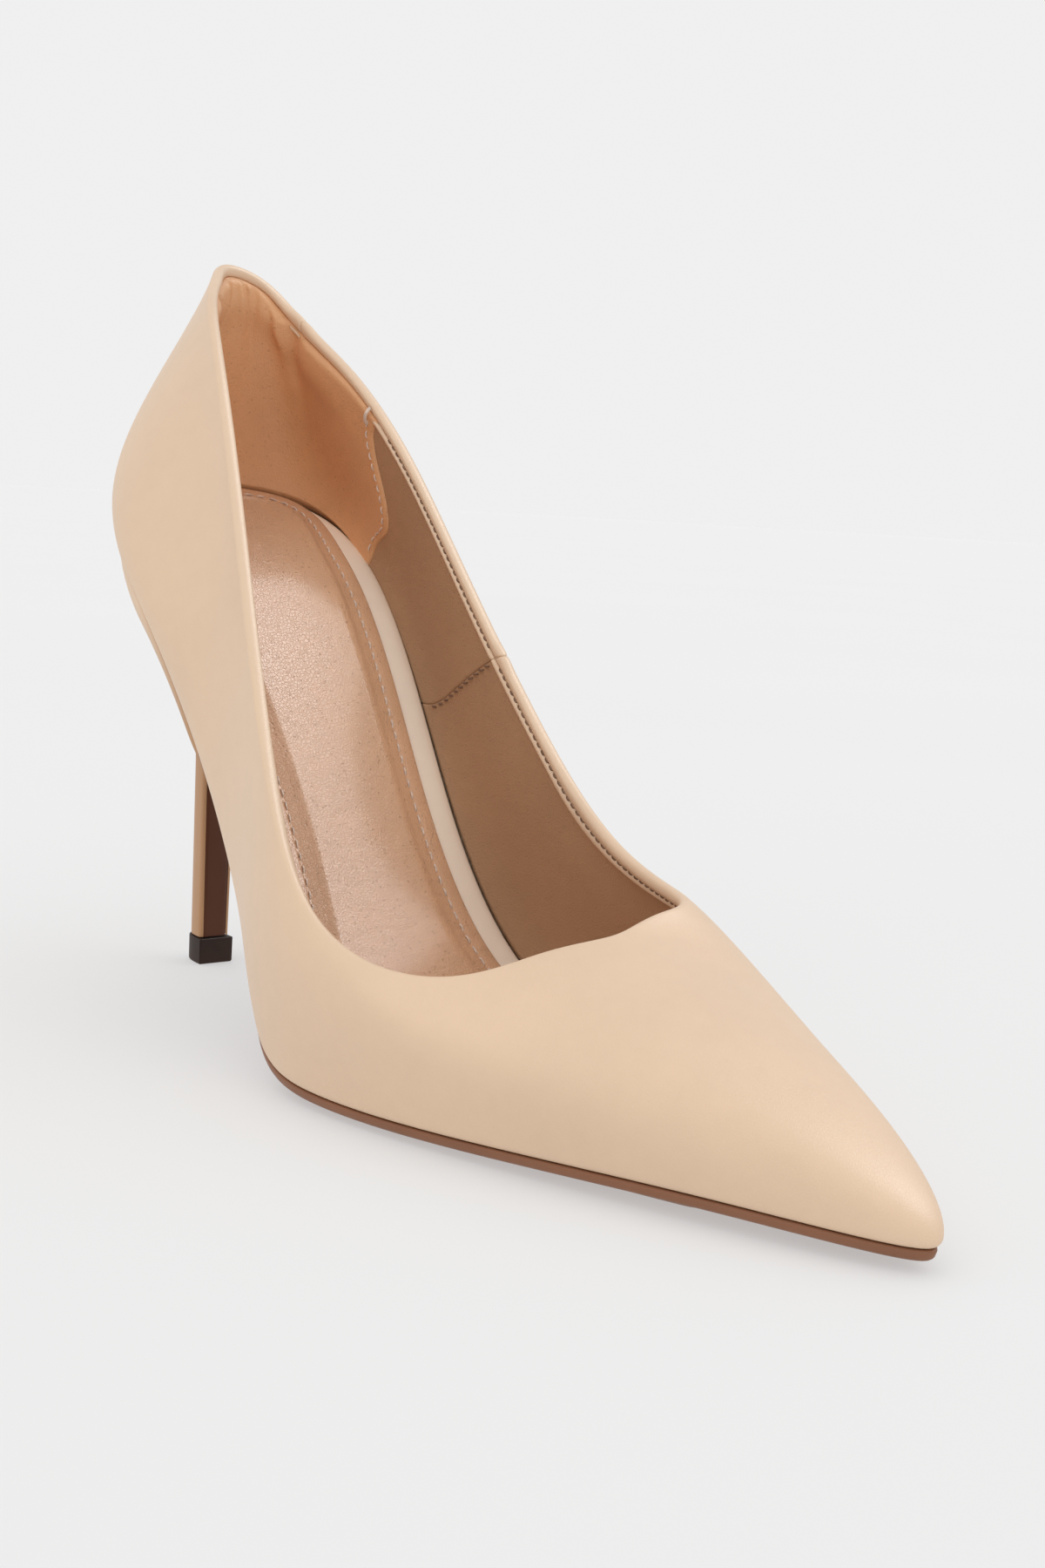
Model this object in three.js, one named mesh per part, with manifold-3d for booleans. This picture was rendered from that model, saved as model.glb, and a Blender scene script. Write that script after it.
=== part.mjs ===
// High heel pump, right foot: pointed toe, cut-away topline, slender covered heel.
// Millimetres. +Z is up, the toe points to -Y and the inner (medial) side of the foot is +X.
// The upper is drawn as a wall that rises from the feather line (where upper and sole meet)
// to the topline. Every layer of the upper is that one wall, offset inwards. Every layer of
// the bottom is the feather outline, set inwards and offset from the bottom profile.
import * as THREE from "three";
import { mergeVertices } from "three/addons/utils/BufferGeometryUtils.js";
import Module from "manifold-3d";

// ---- Overall sizes ----
const SHOE_LENGTH = 226.5; // feather line, toe tip to back of the heel
const BALL_WIDTH = 74; // feather line at its widest
const SEAT_HEIGHT = 102.5; // rise of the feather line from the ball to the back of the heel
const TOPLINE_HEIGHT = 54.6; // topline above the heel seat, at the back
const SOLE_LIFT = 3.6; // feather line above the floor at the ball

// ---- Gaps between pieces that lie against each other ----
const GLUE_GAP = 0.3;
const SEAM_GAP = 0.35;
const FASTENER_CLEARANCE = 0.2;

// ---- Layers of the upper, outermost first ----
const UPPER_THICK = 1.2;
const BACKING_THICK = 0.6;
const COUNTER_THICK = 0.9;
const LINING_THICK = 0.8;
const GRIP_FOAM_THICK = 0.55;
const TAPE_THICK = 0.5;
const TAPE_WIDTH = 4;
const BINDING_DROP = 1.9; // height of the folded topline edge
const LASTING_MARGIN = 12; // upper turned in under the insole board

// ---- Layers of the bottom ----
const BOARD_THICK = 1.6;
const WRAP_THICK = 1.1;
const WRAP_WIDTH = 13;
const SOCK_THICK = 0.9;
const FILLER_THICK = 1;
const SOLE_EDGE = 1.7; // visible thickness of the outsole
const BOARD_INSET = UPPER_THICK + 0.8;
const WRAP_INSET = BOARD_INSET + 1.8;
const SOCK_INSET = WRAP_INSET + 4.8;
const SOLE_INSET = 0.4;
const SHANK_WIDTH = 12;
const SHANK_THICK = 0.9;

// ---- Heel ----
const HEEL_REACH = 3; // keys of the feather outline that the heel covers on each side
const STEM_X = 0;
const STEM_FRONT = 96.8;
const STEM_DEPTH = 7.3;
const STEM_WIDTH = 7.4;
const STEM_WIDTH_TOP = 8.4;
const STEM_TOP = 46; // height where the stem starts to flare
const STEM_SQUARE = 0.7; // below 1 the stem's back is squarer than a half circle
const HEEL_COVER_THICK = 0.5;
const HEEL_CORE_DEPTH = 1.1; // heel core under its leather, measured from the outer face
const BREAST_TRIM = 0.9;
const LIFT_HEIGHT = 6;
const LIFT_OVERHANG = 0.5;
const LIFT_OVERHANG_FRONT = 1;
const TUBE_RADIUS = 1.5;
const TUBE_BORE = 1;
const TUBE_LENGTH = 58;
const PIN_RADIUS = 0.75;
const PIN_TOP = 26;
const PIN_BOTTOM = 2.5;
const SCREW = { shaft: 1.8, head: 3.6, headHeight: 1.1, length: 22 };
const NAIL = { shaft: 0.9, head: 1.9, headHeight: 0.7, length: 13 };
const RIVET = { shaft: 1.4, head: 2.6, headHeight: 0.5, length: 2.9 };

// ---- Resolution ----
const KEY_STEPS = 5; // columns between two outline keys
const WALL_STEPS = 7;
const CURVE_STEP = 0.01;
const SPLINE_PASSES = 60;
const WELD = 1e-4;
const ROUND_SIDES = 12;
const STATION_MARGIN = 0.25; // share of a column that a seam keeps clear of the next one

// Feather line seen from above: 16 keys from the back of the heel, round the outer
// (lateral) side to the toe tip, and back along the inner side.
const FEATHER_KEYS = [
  [0, 108], [-20.5, 101], [-33.5, 79.5], [-30.5, 49], [-32, 23], [-38.5, -6], [-24, -60.5], [-5.5, -106],
  [4, -118.5], [11, -107.5], [25, -66], [35.5, -18], [27.5, 22], [25.5, 50], [27, 80], [19.5, 101],
];
const KEYS = FEATHER_KEYS.length;
const TOE_KEY = KEYS / 2;

// Topline at the same keys: x, y, and height above the bottom profile.
const TOPLINE_KEYS = [
  [0.5, 104.3, 54.6], [-6.5, 96, 54.3], [-15.5, 80, 54], [-26.5, 48, 55.5], [-37, 16, 57.5], [-41, -12.5, 35],
  [-30, -35.5, 27], [-13.5, -43.5, 31], [-1, -46.5, 33.5], [10.5, -44.5, 35.7], [22.2, -38.5, 37.2],
  [27.5, -12.5, 43], [27, 16.5, 58], [25, 50.5, 50.5], [19, 87.5, 46], [12, 102.5, 52],
];

// Handles of the wall's curve, from the back to the toe: how far it leaves the feather line
// outwards and upwards, and how far it reaches the topline from outside and below.
const WALL_HANDLES = [
  [5.7, 11.8, 4.4, 18.2], [9.1, 13, 7.1, 17], [5.5, 12.8, 5.1, 17], [7.3, 11.5, 0.8, 14.2],
  [6, 13.9, 0.8, 12], [4.4, 16.5, 4.6, 6], [5.2, 12.8, 11.2, 7.4], [3.2, 10.7, 20.4, 7.5],
  [4.8, 10, 27.4, 8.8],
];

// Bottom profile: place along the shoe, and share of the seat's rise.
const PROFILE_PLACES = [-118.5, -90, -50, -10, 12, 35, 58, 80, 108];
const PROFILE_RISE = [0.006, 0.013, 0.004, 0, 0.053, 0.303, 0.632, 0.86, 1];

// ---- Seams and edges of the upper's pieces ----
// Each is a place on the ring of keys, given where it stands at the feather line.
const SIDE_SEAM = 13.18;
const REAR_SEAM = 14.53 - KEYS;
const HEEL_LINING_MEDIAL = 14 - KEYS;
const HEEL_LINING_LATERAL = 2;
const LATERAL_SEAM = KEYS - SIDE_SEAM;
const SEAM_LEAN = 0.93; // the side seams lean forward by this many keys at the topline
const SEAM_SPREAD = 2;

const span = (values) => Math.max(...values) - Math.min(...values);
const lerp = THREE.MathUtils.lerp;
const clamp = THREE.MathUtils.clamp;
const smooth = THREE.MathUtils.smoothstep;
const LENGTH_SCALE = SHOE_LENGTH / span(FEATHER_KEYS.map((key) => key[1]));
const WIDTH_SCALE = BALL_WIDTH / span(FEATHER_KEYS.map((key) => key[0]));
const HEIGHT_SCALE = TOPLINE_HEIGHT / TOPLINE_KEYS[0][2];

// ---- Curves ----

// Smooth curve through keys at the given places; with a period it closes on itself.
function spline(places, keys, period = 0) {
  const count = keys.length;
  const wrap = (i) => (i + count) % count;
  const gapAfter = (i) => (i + 1 < count ? places[i + 1] - places[i] : places[0] + period - places[i]);
  const slopes = keys.map((key) => key.map(() => 0));
  const solveSlope = (i, axis) => {
    let weight = 0;
    let pull = 0;
    if (period || i > 0) {
      const before = wrap(i - 1);
      const gap = gapAfter(before);
      weight += 2 / gap;
      pull += ((3 * (keys[i][axis] - keys[before][axis])) / gap - slopes[before][axis]) / gap;
    }
    if (period || i < count - 1) {
      const after = wrap(i + 1);
      const gap = gapAfter(i);
      weight += 2 / gap;
      pull += ((3 * (keys[after][axis] - keys[i][axis])) / gap - slopes[after][axis]) / gap;
    }
    slopes[i][axis] = pull / weight;
  };
  for (let pass = 0; pass < SPLINE_PASSES; pass++) {
    keys.forEach((key, i) => key.forEach((_, axis) => solveSlope(i, axis)));
  }
  return (place) => {
    const at = period ? THREE.MathUtils.euclideanModulo(place, period) : place;
    let i = 0;
    while (i < (period ? count - 1 : count - 2) && places[i + 1] <= at) {
      i++;
    }
    const gap = gapAfter(i);
    const t = (at - places[i]) / gap;
    const after = wrap(i + 1);
    return keys[i].map((value, axis) => {
      const rise = keys[after][axis] - value;
      const start = slopes[i][axis] * gap;
      const end = slopes[after][axis] * gap;
      return value + t * (start + t * (3 * rise - 2 * start - end + t * (start + end - 2 * rise)));
    });
  };
}

const ringPlaces = FEATHER_KEYS.map((_, i) => i);
const mirrored = [...WALL_HANDLES, ...WALL_HANDLES.slice(1, -1).reverse()];
const featherKeys = FEATHER_KEYS.map(([x, y]) => [x * WIDTH_SCALE, y * LENGTH_SCALE]);
const toplineKeys = TOPLINE_KEYS.map(([x, y, z]) => [x * WIDTH_SCALE, y * LENGTH_SCALE, z * HEIGHT_SCALE]);
const profilePlaces = PROFILE_PLACES.map((y) => y * LENGTH_SCALE);
const profileKeys = PROFILE_RISE.map((share) => [SOLE_LIFT + share * SEAT_HEIGHT]);
const feather = spline(ringPlaces, featherKeys, KEYS);
const topline = spline(ringPlaces, toplineKeys, KEYS);
const handles = spline(ringPlaces, mirrored, KEYS);
const profileCurve = spline(profilePlaces, profileKeys);
const profile = (y) => profileCurve(y)[0];

// Point at x, y of the bottom profile, raised by a distance square to it.
function seat(x, y, raise) {
  const slope = (profile(y + CURVE_STEP) - profile(y - CURVE_STEP)) / (2 * CURVE_STEP);
  const stretch = Math.hypot(1, slope);
  return new THREE.Vector3(x, y - (raise * slope) / stretch, profile(y) + raise / stretch);
}

// Direction of the bottom profile's normal at y.
const seatNormal = (y) => seat(0, y, 1).sub(seat(0, y, 0));

// Middle of the shoe at a place on the ring. It stops short of the toe and of the heel, so
// that pieces set inwards from the outline close round those ends.
const SPINE_START = 2;
const SPINE_END = 6.7;
const INSET_LIMIT = 0.72; // share of the way to the middle that an inset may take
const INSET_SQUARE = 0.45;

function middle(turn) {
  const ring = THREE.MathUtils.euclideanModulo(turn, KEYS);
  const folded = clamp(Math.min(ring, KEYS - ring), SPINE_START, SPINE_END);
  const [xa, ya] = feather(folded);
  const [xb, yb] = feather(KEYS - folded);
  return [(xa + xb) / 2, (ya + yb) / 2];
}

// Feather outline moved inwards by a distance.
function inward(turn, distance) {
  const [x, y] = feather(turn);
  const [mx, my] = middle(turn);
  const [ax, ay] = feather(turn - CURVE_STEP);
  const [bx, by] = feather(turn + CURVE_STEP);
  const reach = Math.hypot(mx - x, my - y);
  const square = ((mx - x) * (ay - by) + (my - y) * (bx - ax)) / Math.hypot(bx - ax, by - ay) / reach;
  const share = Math.min(distance / Math.max(square, INSET_SQUARE) / reach, INSET_LIMIT);
  return [lerp(x, mx, share), lerp(y, my, share)];
}

// The side seams lean forward as they rise to the topline.
function leaning(turn, t) {
  const ring = THREE.MathUtils.euclideanModulo(turn, KEYS);
  const bump = (seam) => Math.cos((Math.PI / 2) * Math.min(1, Math.abs(ring - seam) / SEAM_SPREAD)) ** 2;
  const lean = SEAM_LEAN * (bump(SIDE_SEAM) - bump(LATERAL_SEAM));
  return turn - lean * Math.max(t, 0);
}

// Outer face of the upper: t is 1 at the topline, 0 at the feather line, and down to -1
// across the lasting margin that is turned in under the insole board.
function wall(turn, t) {
  const place = leaning(turn, t);
  if (t < 0) {
    return seat(...inward(place, -t * LASTING_MARGIN), 0);
  }
  const [x, y] = feather(place);
  const [ax, ay] = feather(place - CURVE_STEP);
  const [bx, by] = feather(place + CURVE_STEP);
  const out = new THREE.Vector3(ay - by, bx - ax, 0).normalize().negate();
  const up = new THREE.Vector3(0, 0, 1);
  const [footOut, footUp, topOut, topDown] = handles(place);
  const [topX, topY, topHeight] = topline(place);
  const foot = new THREE.Vector3(x, y, profile(y));
  const top = new THREE.Vector3(topX, topY, profile(topY) + topHeight);
  const curve = new THREE.CubicBezierCurve3(
    foot,
    foot.clone().addScaledVector(out, footOut).addScaledVector(up, footUp),
    top.clone().addScaledVector(out, topOut).addScaledVector(up, -topDown),
    top,
  );
  return curve.getPoint(t);
}

// Place on the wall that lies a distance below the topline, or above the feather line.
function belowTopline(turn, distance) {
  const [, , topOut, topDown] = handles(turn);
  return 1 - distance / (3 * Math.hypot(topOut, topDown));
}

function aboveFeather(turn, distance) {
  const [footOut, footUp] = handles(turn);
  return distance / (3 * Math.hypot(footOut, footUp));
}

// ---- Closed solids ----

function closedMesh(corners) {
  const merged = mergeVertices(new THREE.BufferGeometry().setFromPoints(corners), WELD);
  const index = merged.index.array;
  const kept = [];
  for (let i = 0; i < index.length; i += 3) {
    const [a, b, c] = index.slice(i, i + 3);
    if (a !== b && b !== c && c !== a) {
      kept.push(a, b, c);
    }
  }
  merged.setIndex(kept);
  merged.computeVertexNormals();
  return merged;
}

// Solid between two faces of a grid: grid[i][j] is [outer point, inner point]. A closed grid
// joins its last column to its first.
function gridSolid(grid, closed = false) {
  const corners = [];
  const quad = (a, b, c, d) => corners.push(a, b, c, a, c, d);
  const columns = closed ? [...grid, grid[0]] : grid;
  const last = columns.length - 1;
  const rows = columns[0].length - 1;
  for (let i = 0; i < last; i++) {
    const here = columns[i];
    const next = columns[i + 1];
    for (let j = 0; j < rows; j++) {
      quad(here[j][0], next[j][0], next[j + 1][0], here[j + 1][0]);
      quad(here[j][1], here[j + 1][1], next[j + 1][1], next[j][1]);
    }
    quad(here[0][0], here[0][1], next[0][1], next[0][0]);
    quad(here[rows][0], next[rows][0], next[rows][1], here[rows][1]);
  }
  if (!closed) {
    for (let j = 0; j < rows; j++) {
      const first = columns[0];
      const end = columns[last];
      quad(first[j][0], first[j + 1][0], first[j + 1][1], first[j][1]);
      quad(end[j][0], end[j][1], end[j + 1][1], end[j + 1][0]);
    }
  }
  return closedMesh(corners);
}

// Stations from one place on the ring to another, on the common columns between them.
function stations(from, to) {
  const inside = [];
  for (let k = Math.floor(from * KEY_STEPS) + 1; k < to * KEY_STEPS - WELD; k++) {
    inside.push(k / KEY_STEPS);
  }
  const margin = STATION_MARGIN / KEY_STEPS;
  return [from, ...inside.filter((place) => place - from > margin && to - place > margin), to];
}

function offsetPoint(surface, u, v, depth) {
  const along = surface(u + CURVE_STEP, v).sub(surface(u - CURVE_STEP, v));
  const across = surface(u, v + CURVE_STEP).sub(surface(u, v - CURVE_STEP));
  return surface(u, v).addScaledVector(along.cross(across).normalize(), -depth);
}

// Layer of a surface between two depths under it.
function layer(surface, places, rowsAt, near, far, closed = false) {
  const grid = places.map((u) =>
    rowsAt(u).map((v) => [offsetPoint(surface, u, v, near), offsetPoint(surface, u, v, far)]),
  );
  return gridSolid(grid, closed);
}

// Rows of the wall from one height to another, on the common rows between them.
function wallRows(lowAt, highAt, count = WALL_STEPS) {
  return (turn) => {
    const low = lowAt(turn);
    const high = highAt(turn);
    return Array.from({ length: count + 1 }, (_, row) => lerp(low, high, row / count));
  };
}

const wholeRing = Array.from({ length: KEYS * KEY_STEPS }, (_, i) => i / KEY_STEPS);

// Half of the gap at a seam, in keys.
function seamGap(turn) {
  const [ax, ay] = feather(turn - CURVE_STEP);
  const [bx, by] = feather(turn + CURVE_STEP);
  const keyLength = Math.hypot(bx - ax, by - ay) / (2 * CURVE_STEP);
  return SEAM_GAP / 2 / keyLength;
}

// Piece of the wall between two seams.
function wallPiece(from, to, rowsAt, near, far) {
  const places = stations(from + seamGap(from), to - seamGap(to));
  return layer(wall, places, rowsAt, near, far);
}

const SHEET_COLUMNS = [0, 0.25, 0.5, 0.75, 1];

// Sheet on the bottom profile between two heights, from one station to another, with its
// outline set inwards from the feather line.
function sheet(inset, low, high, from, to) {
  const grid = stations(from, to).map((turn) => {
    const [xa, ya] = inward(turn, inset);
    const [xb, yb] = inward(KEYS - turn, inset);
    return SHEET_COLUMNS.map((share) => {
      const x = lerp(xa, xb, share);
      const y = lerp(ya, yb, share);
      return [seat(x, y, high), seat(x, y, low)];
    });
  });
  return gridSolid(grid);
}

// Manifold solid of a geometry, and back.
const wasm = await Module();
wasm.setup();

function toManifold(geometry) {
  const plain = new THREE.BufferGeometry();
  plain.setAttribute("position", geometry.getAttribute("position"));
  plain.setIndex(geometry.index);
  const welded = mergeVertices(plain, WELD);
  return new wasm.Manifold(
    new wasm.Mesh({
      numProp: 3,
      vertProperties: new Float32Array(welded.getAttribute("position").array),
      triVerts: new Uint32Array(welded.index.array),
    }),
  );
}

function fromManifold(solid) {
  const mesh = solid.getMesh();
  const geometry = new THREE.BufferGeometry();
  geometry.setAttribute("position", new THREE.BufferAttribute(mesh.vertProperties, 3));
  geometry.setIndex(new THREE.BufferAttribute(mesh.triVerts, 1));
  geometry.computeVertexNormals();
  return geometry;
}

function cut(geometry, ...tools) {
  return fromManifold(tools.reduce((solid, tool) => solid.subtract(toManifold(tool)), toManifold(geometry)));
}

// Turned solid on an axis: outline is a list of [radius, distance along the axis].
function turned(outline, place, axis) {
  const points = outline.map(([radius, height]) => new THREE.Vector2(radius, height));
  const geometry = new THREE.LatheGeometry(points, ROUND_SIDES);
  geometry.applyQuaternion(new THREE.Quaternion().setFromUnitVectors(new THREE.Vector3(0, 1, 0), axis));
  return geometry.translate(place.x, place.y, place.z);
}

// Headed fastener driven down through the bottom at x, y; its head lies at the given height.
function fastener(size, x, y, headTop, grow = 0) {
  const foot = -size.length - grow;
  const neck = -size.headHeight - grow;
  const outline = [
    [0, foot], [size.shaft + grow, foot], [size.shaft + grow, neck], [size.head + grow, neck],
    [size.head + grow, grow], [0, grow],
  ];
  return turned(outline, seat(x, y, headTop), seatNormal(y));
}

// ---- Upper ----
const backingDepth = UPPER_THICK + GLUE_GAP;
const liningDepth = backingDepth + COUNTER_THICK + GLUE_GAP;
const innerDepth = liningDepth + LINING_THICK;
const boardLow = UPPER_THICK + GLUE_GAP;
const boardTop = boardLow + BOARD_THICK;

const topEdge = (turn) => belowTopline(turn, BINDING_DROP + GLUE_GAP);
const tapeLow = (turn) => belowTopline(turn, BINDING_DROP + 2 * GLUE_GAP + TAPE_WIDTH);
const backingTop = (turn) => belowTopline(turn, BINDING_DROP + 3 * GLUE_GAP + TAPE_WIDTH);
// The inner layers end just above the insole board, and higher up round the sharp toe tip.
// Up the steep waist the board reaches this many times its thickness along the wall.
const WAIST_STRETCH = 1.6;
const LINING_TUCK = 0.86;
const TOE_RAISE = 0.17;
const TOE_FLAT = 0.1;
const TOE_SPREAD = 1.3;

function layerLow(turn) {
  const ring = THREE.MathUtils.euclideanModulo(turn, KEYS);
  const tip = 1 - smooth(Math.abs(ring - TOE_KEY), TOE_FLAT, TOE_SPREAD);
  return aboveFeather(turn, boardTop * WAIST_STRETCH - LINING_TUCK) + TOE_RAISE * tip;
}

const COUNTER_TOP = 0.62;
const COUNTER_REACH = 2.7;
const PUFF_TOP = 0.42;
const PUFF_GAP = 0.01;
const PUFF_FROM = 6.3;
const PUFF_TO = KEYS - PUFF_FROM;
const BACKING_BREAK = 0.04;
const GRIP_TOP = 0.86;
const GRIP_REACH = 1.6;
const BACKING_STEPS = 4;
const MARGIN_ROWS = [-1, -0.45, 0, 0.04];

function upperRows(turn) {
  const wallPart = wallRows(() => 0, topEdge)(turn).slice(1);
  return [...MARGIN_ROWS, ...wallPart];
}

const liningRows = wallRows(layerLow, topEdge);
const heightOf = (share) => () => share;

function toplineBinding() {
  const rows = wallRows((turn) => belowTopline(turn, BINDING_DROP), () => 1, 1);
  return layer(wall, wholeRing, rows, 0, innerDepth, true);
}

function toplineTape() {
  return layer(wall, wholeRing, wallRows(tapeLow, topEdge, 1), backingDepth, backingDepth + TAPE_THICK, true);
}

function backing(from, to, low, high, thick) {
  const rows = wallRows(low, high, BACKING_STEPS);
  return wallPiece(from, to, rows, backingDepth, backingDepth + thick);
}

// ---- Bottom ----
const wrapLow = boardTop + GLUE_GAP;
const wrapTop = wrapLow + WRAP_THICK;
const sockLow = wrapTop + GLUE_GAP;
const FILLER_LOW = 0.1;
const FILLER_INSET = LASTING_MARGIN + 0.6;
const FILLER_BREAK = 0.05; // keys between a filler and the shank
const FILLER_FRONT = 6.2;
const FILLER_BACK = 0.6;
const SOCK_FOAM_BACK = 1.2;
const SOCK_FOAM_FRONT = 6;
const SOCK_FRONT = 6.9;
const SHANK_FRONT = 4.75;
const SHANK_BACK = 2.35;
const HEEL_END = HEEL_REACH + 0.02; // the outsole stops just short of the heel
const TREAD_FRONT = -78;
const TREAD_BACK = 2;
const TREAD_EASE = 16;
const SOLE_COLUMNS = [0, 0.07, 0.15, 0.26, 0.5, 0.74, 0.85, 0.93, 1];
const TREAD_SHARE = 0.26;

function insoleWrap() {
  const grid = wholeRing.map((turn) =>
    [WRAP_INSET, WRAP_INSET + WRAP_WIDTH].map((inset) => {
      const [x, y] = inward(turn, inset);
      return [seat(x, y, wrapTop), seat(x, y, wrapLow)];
    }),
  );
  return gridSolid(grid, true);
}

// The outsole is thin at its edge and swells to a flat tread under the ball of the foot.
function outsole() {
  const grid = stations(HEEL_END, TOE_KEY).map((turn) => {
    const [xa, ya] = inward(turn, SOLE_INSET);
    const [xb, yb] = inward(KEYS - turn, SOLE_INSET);
    return SOLE_COLUMNS.map((share) => {
      const x = lerp(xa, xb, share);
      const y = lerp(ya, yb, share);
      const under = seat(x, y, -GLUE_GAP - SOLE_EDGE);
      const front = smooth(y, (TREAD_FRONT - TREAD_EASE) * LENGTH_SCALE, TREAD_FRONT * LENGTH_SCALE);
      const back = 1 - smooth(y, TREAD_BACK * LENGTH_SCALE, (TREAD_BACK + TREAD_EASE) * LENGTH_SCALE);
      const edge = smooth(Math.min(share, 1 - share), 0, TREAD_SHARE);
      under.z = lerp(under.z, 0, front * back * edge);
      return [seat(x, y, -GLUE_GAP), under];
    });
  });
  return gridSolid(grid);
}

// Steel strip with a pressed rib along its middle, under the waist.
function steelShank() {
  const columns = [-0.5, -0.2, 0, 0.2, 0.5];
  const grid = stations(SHANK_BACK, SHANK_FRONT).map((turn) => {
    const [x, y] = middle(turn);
    return columns.map((share) => {
      const place = x + share * SHANK_WIDTH;
      return [seat(place, y, FILLER_LOW + SHANK_THICK), seat(place, y, FILLER_LOW)];
    });
  });
  return gridSolid(grid);
}

// ---- Heel ----
const FLARE_STEPS = 9;
const STEM_STEPS = 3;
const liftTop = LIFT_HEIGHT + GLUE_GAP;

// Ring of the stem at a height: flat in front, rounded behind.
function stemPoint(turn, height, grow = 0, growFront = grow) {
  const angle = ((turn / HEEL_REACH) * Math.PI) / 2;
  const width = lerp(STEM_WIDTH, STEM_WIDTH_TOP, height / STEM_TOP) / 2 + grow;
  const side = Math.sign(Math.sin(angle)) * Math.abs(Math.sin(angle)) ** STEM_SQUARE;
  const depth = STEM_DEPTH + growFront + grow;
  const back = Math.max(Math.cos(angle), 0) ** STEM_SQUARE;
  const front = STEM_FRONT * LENGTH_SCALE - growFront;
  return new THREE.Vector3(STEM_X - side * width, front + depth * back, height);
}

// Outer face of the heel: v is -1 at the seat, 0 below the thickness of the sole, 1 where the
// flare meets the stem, and 2 at the top lift.
const RIM_DROP_SIDE = 13;
const RIM_DROP_BACK = 24;
const STEM_RISE_SIDE = 26;
const STEM_RISE_BREAST = 34;
const LIP_RUN = 17;
const LIP_DROP = 5;
const FRONT_EASE = 1.1; // keys over which the side of the heel turns into its front
const BACK_EASE = 1.2;

const frontness = (turn) => smooth(Math.abs(turn), HEEL_REACH - FRONT_EASE, HEEL_REACH);

function heelRim(turn, v, depth) {
  const lip = frontness(turn) * SOLE_EDGE * clamp(1 + v, 0, 1);
  return seat(...inward(turn, SOLE_INSET + depth), -GLUE_GAP - lip);
}

function heelFace(turn, v) {
  if (v > 1) {
    return stemPoint(turn, lerp(STEM_TOP, liftTop, v - 1));
  }
  const front = frontness(turn);
  const y = inward(turn, SOLE_INSET)[1];
  const rim = heelRim(turn, v, 0);
  const stem = stemPoint(turn, STEM_TOP);
  const backness = 1 - smooth(Math.abs(turn), 0, BACK_EASE);
  const drop = lerp(RIM_DROP_SIDE, RIM_DROP_BACK, backness);
  const normal = seatNormal(y);
  const alongSeat = new THREE.Vector3(1, 0, 0).cross(normal).negate();
  const sideUnder = rim.clone().setZ(rim.z - drop);
  const frontUnder = rim.clone().addScaledVector(alongSeat, LIP_RUN).addScaledVector(normal, -LIP_DROP);
  const under = sideUnder.lerp(frontUnder, front);
  const rise = lerp(STEM_RISE_SIDE, STEM_RISE_BREAST, front);
  const above = stem.clone().add(new THREE.Vector3(0, 0, rise));
  return new THREE.CubicBezierCurve3(rim, under, above, stem).getPoint(Math.max(v, 0));
}

const heelLevels = [
  -1,
  ...Array.from({ length: FLARE_STEPS }, (_, i) => i / FLARE_STEPS),
  ...Array.from({ length: STEM_STEPS + 1 }, (_, i) => 1 + i / STEM_STEPS),
];

function heelOffset(turn, v, depth) {
  if (v <= 0) {
    return heelRim(turn, v, depth);
  }
  const side = clamp(turn, -HEEL_REACH + 2 * CURVE_STEP, HEEL_REACH - 2 * CURVE_STEP);
  const level = clamp(v, 2 * CURVE_STEP, 2 - 2 * CURVE_STEP);
  const along = heelFace(side + CURVE_STEP, level).sub(heelFace(side - CURVE_STEP, level));
  const across = heelFace(side, level - CURVE_STEP).sub(heelFace(side, level + CURVE_STEP));
  const outward = along.cross(across).normalize();
  return heelFace(turn, v).addScaledVector(outward, -depth);
}

// Outward direction of the heel's flat front.
function breastOutward(v) {
  const level = clamp(v, 0, 2 - CURVE_STEP);
  const down = heelFace(HEEL_REACH, level + CURVE_STEP).sub(heelFace(HEEL_REACH, level)).setX(0);
  return new THREE.Vector3(-1, 0, 0).cross(down).normalize();
}

// Rings of the heel core: the heel's outer face set inwards, with a flat front.
function coreRings() {
  return heelLevels.map((v) =>
    stations(-HEEL_REACH, HEEL_REACH).map((turn) => {
      const point = heelOffset(turn, v, HEEL_CORE_DEPTH);
      const frontDepth = Math.abs(turn) === HEEL_REACH && v >= 0 ? HEEL_CORE_DEPTH : 0;
      return point.addScaledVector(breastOutward(v), -frontDepth);
    }),
  );
}

// Closed solid of rings that run from one front corner round the back to the other.
function ringSolid(rings) {
  const corners = [];
  const quad = (a, b, c, d) => corners.push(a, b, c, a, c, d);
  const count = rings[0].length;
  for (let level = 0; level + 1 < rings.length; level++) {
    for (let i = 0; i < count; i++) {
      const next = (i + 1) % count;
      quad(rings[level][i], rings[level + 1][i], rings[level + 1][next], rings[level][next]);
    }
  }
  const top = rings[0];
  const bottom = rings[rings.length - 1];
  for (let i = 0; i < Math.floor(count / 2); i++) {
    const far = count - 1 - i;
    quad(top[i], top[i + 1], top[far - 1], top[far]);
    quad(bottom[far], bottom[far - 1], bottom[i + 1], bottom[i]);
  }
  return closedMesh(corners);
}

function heelCover() {
  const grid = stations(-HEEL_REACH, HEEL_REACH).map((turn) =>
    [...heelLevels].reverse().map((v) => [heelOffset(turn, v, 0), heelOffset(turn, v, HEEL_COVER_THICK)]),
  );
  return gridSolid(grid);
}

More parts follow.
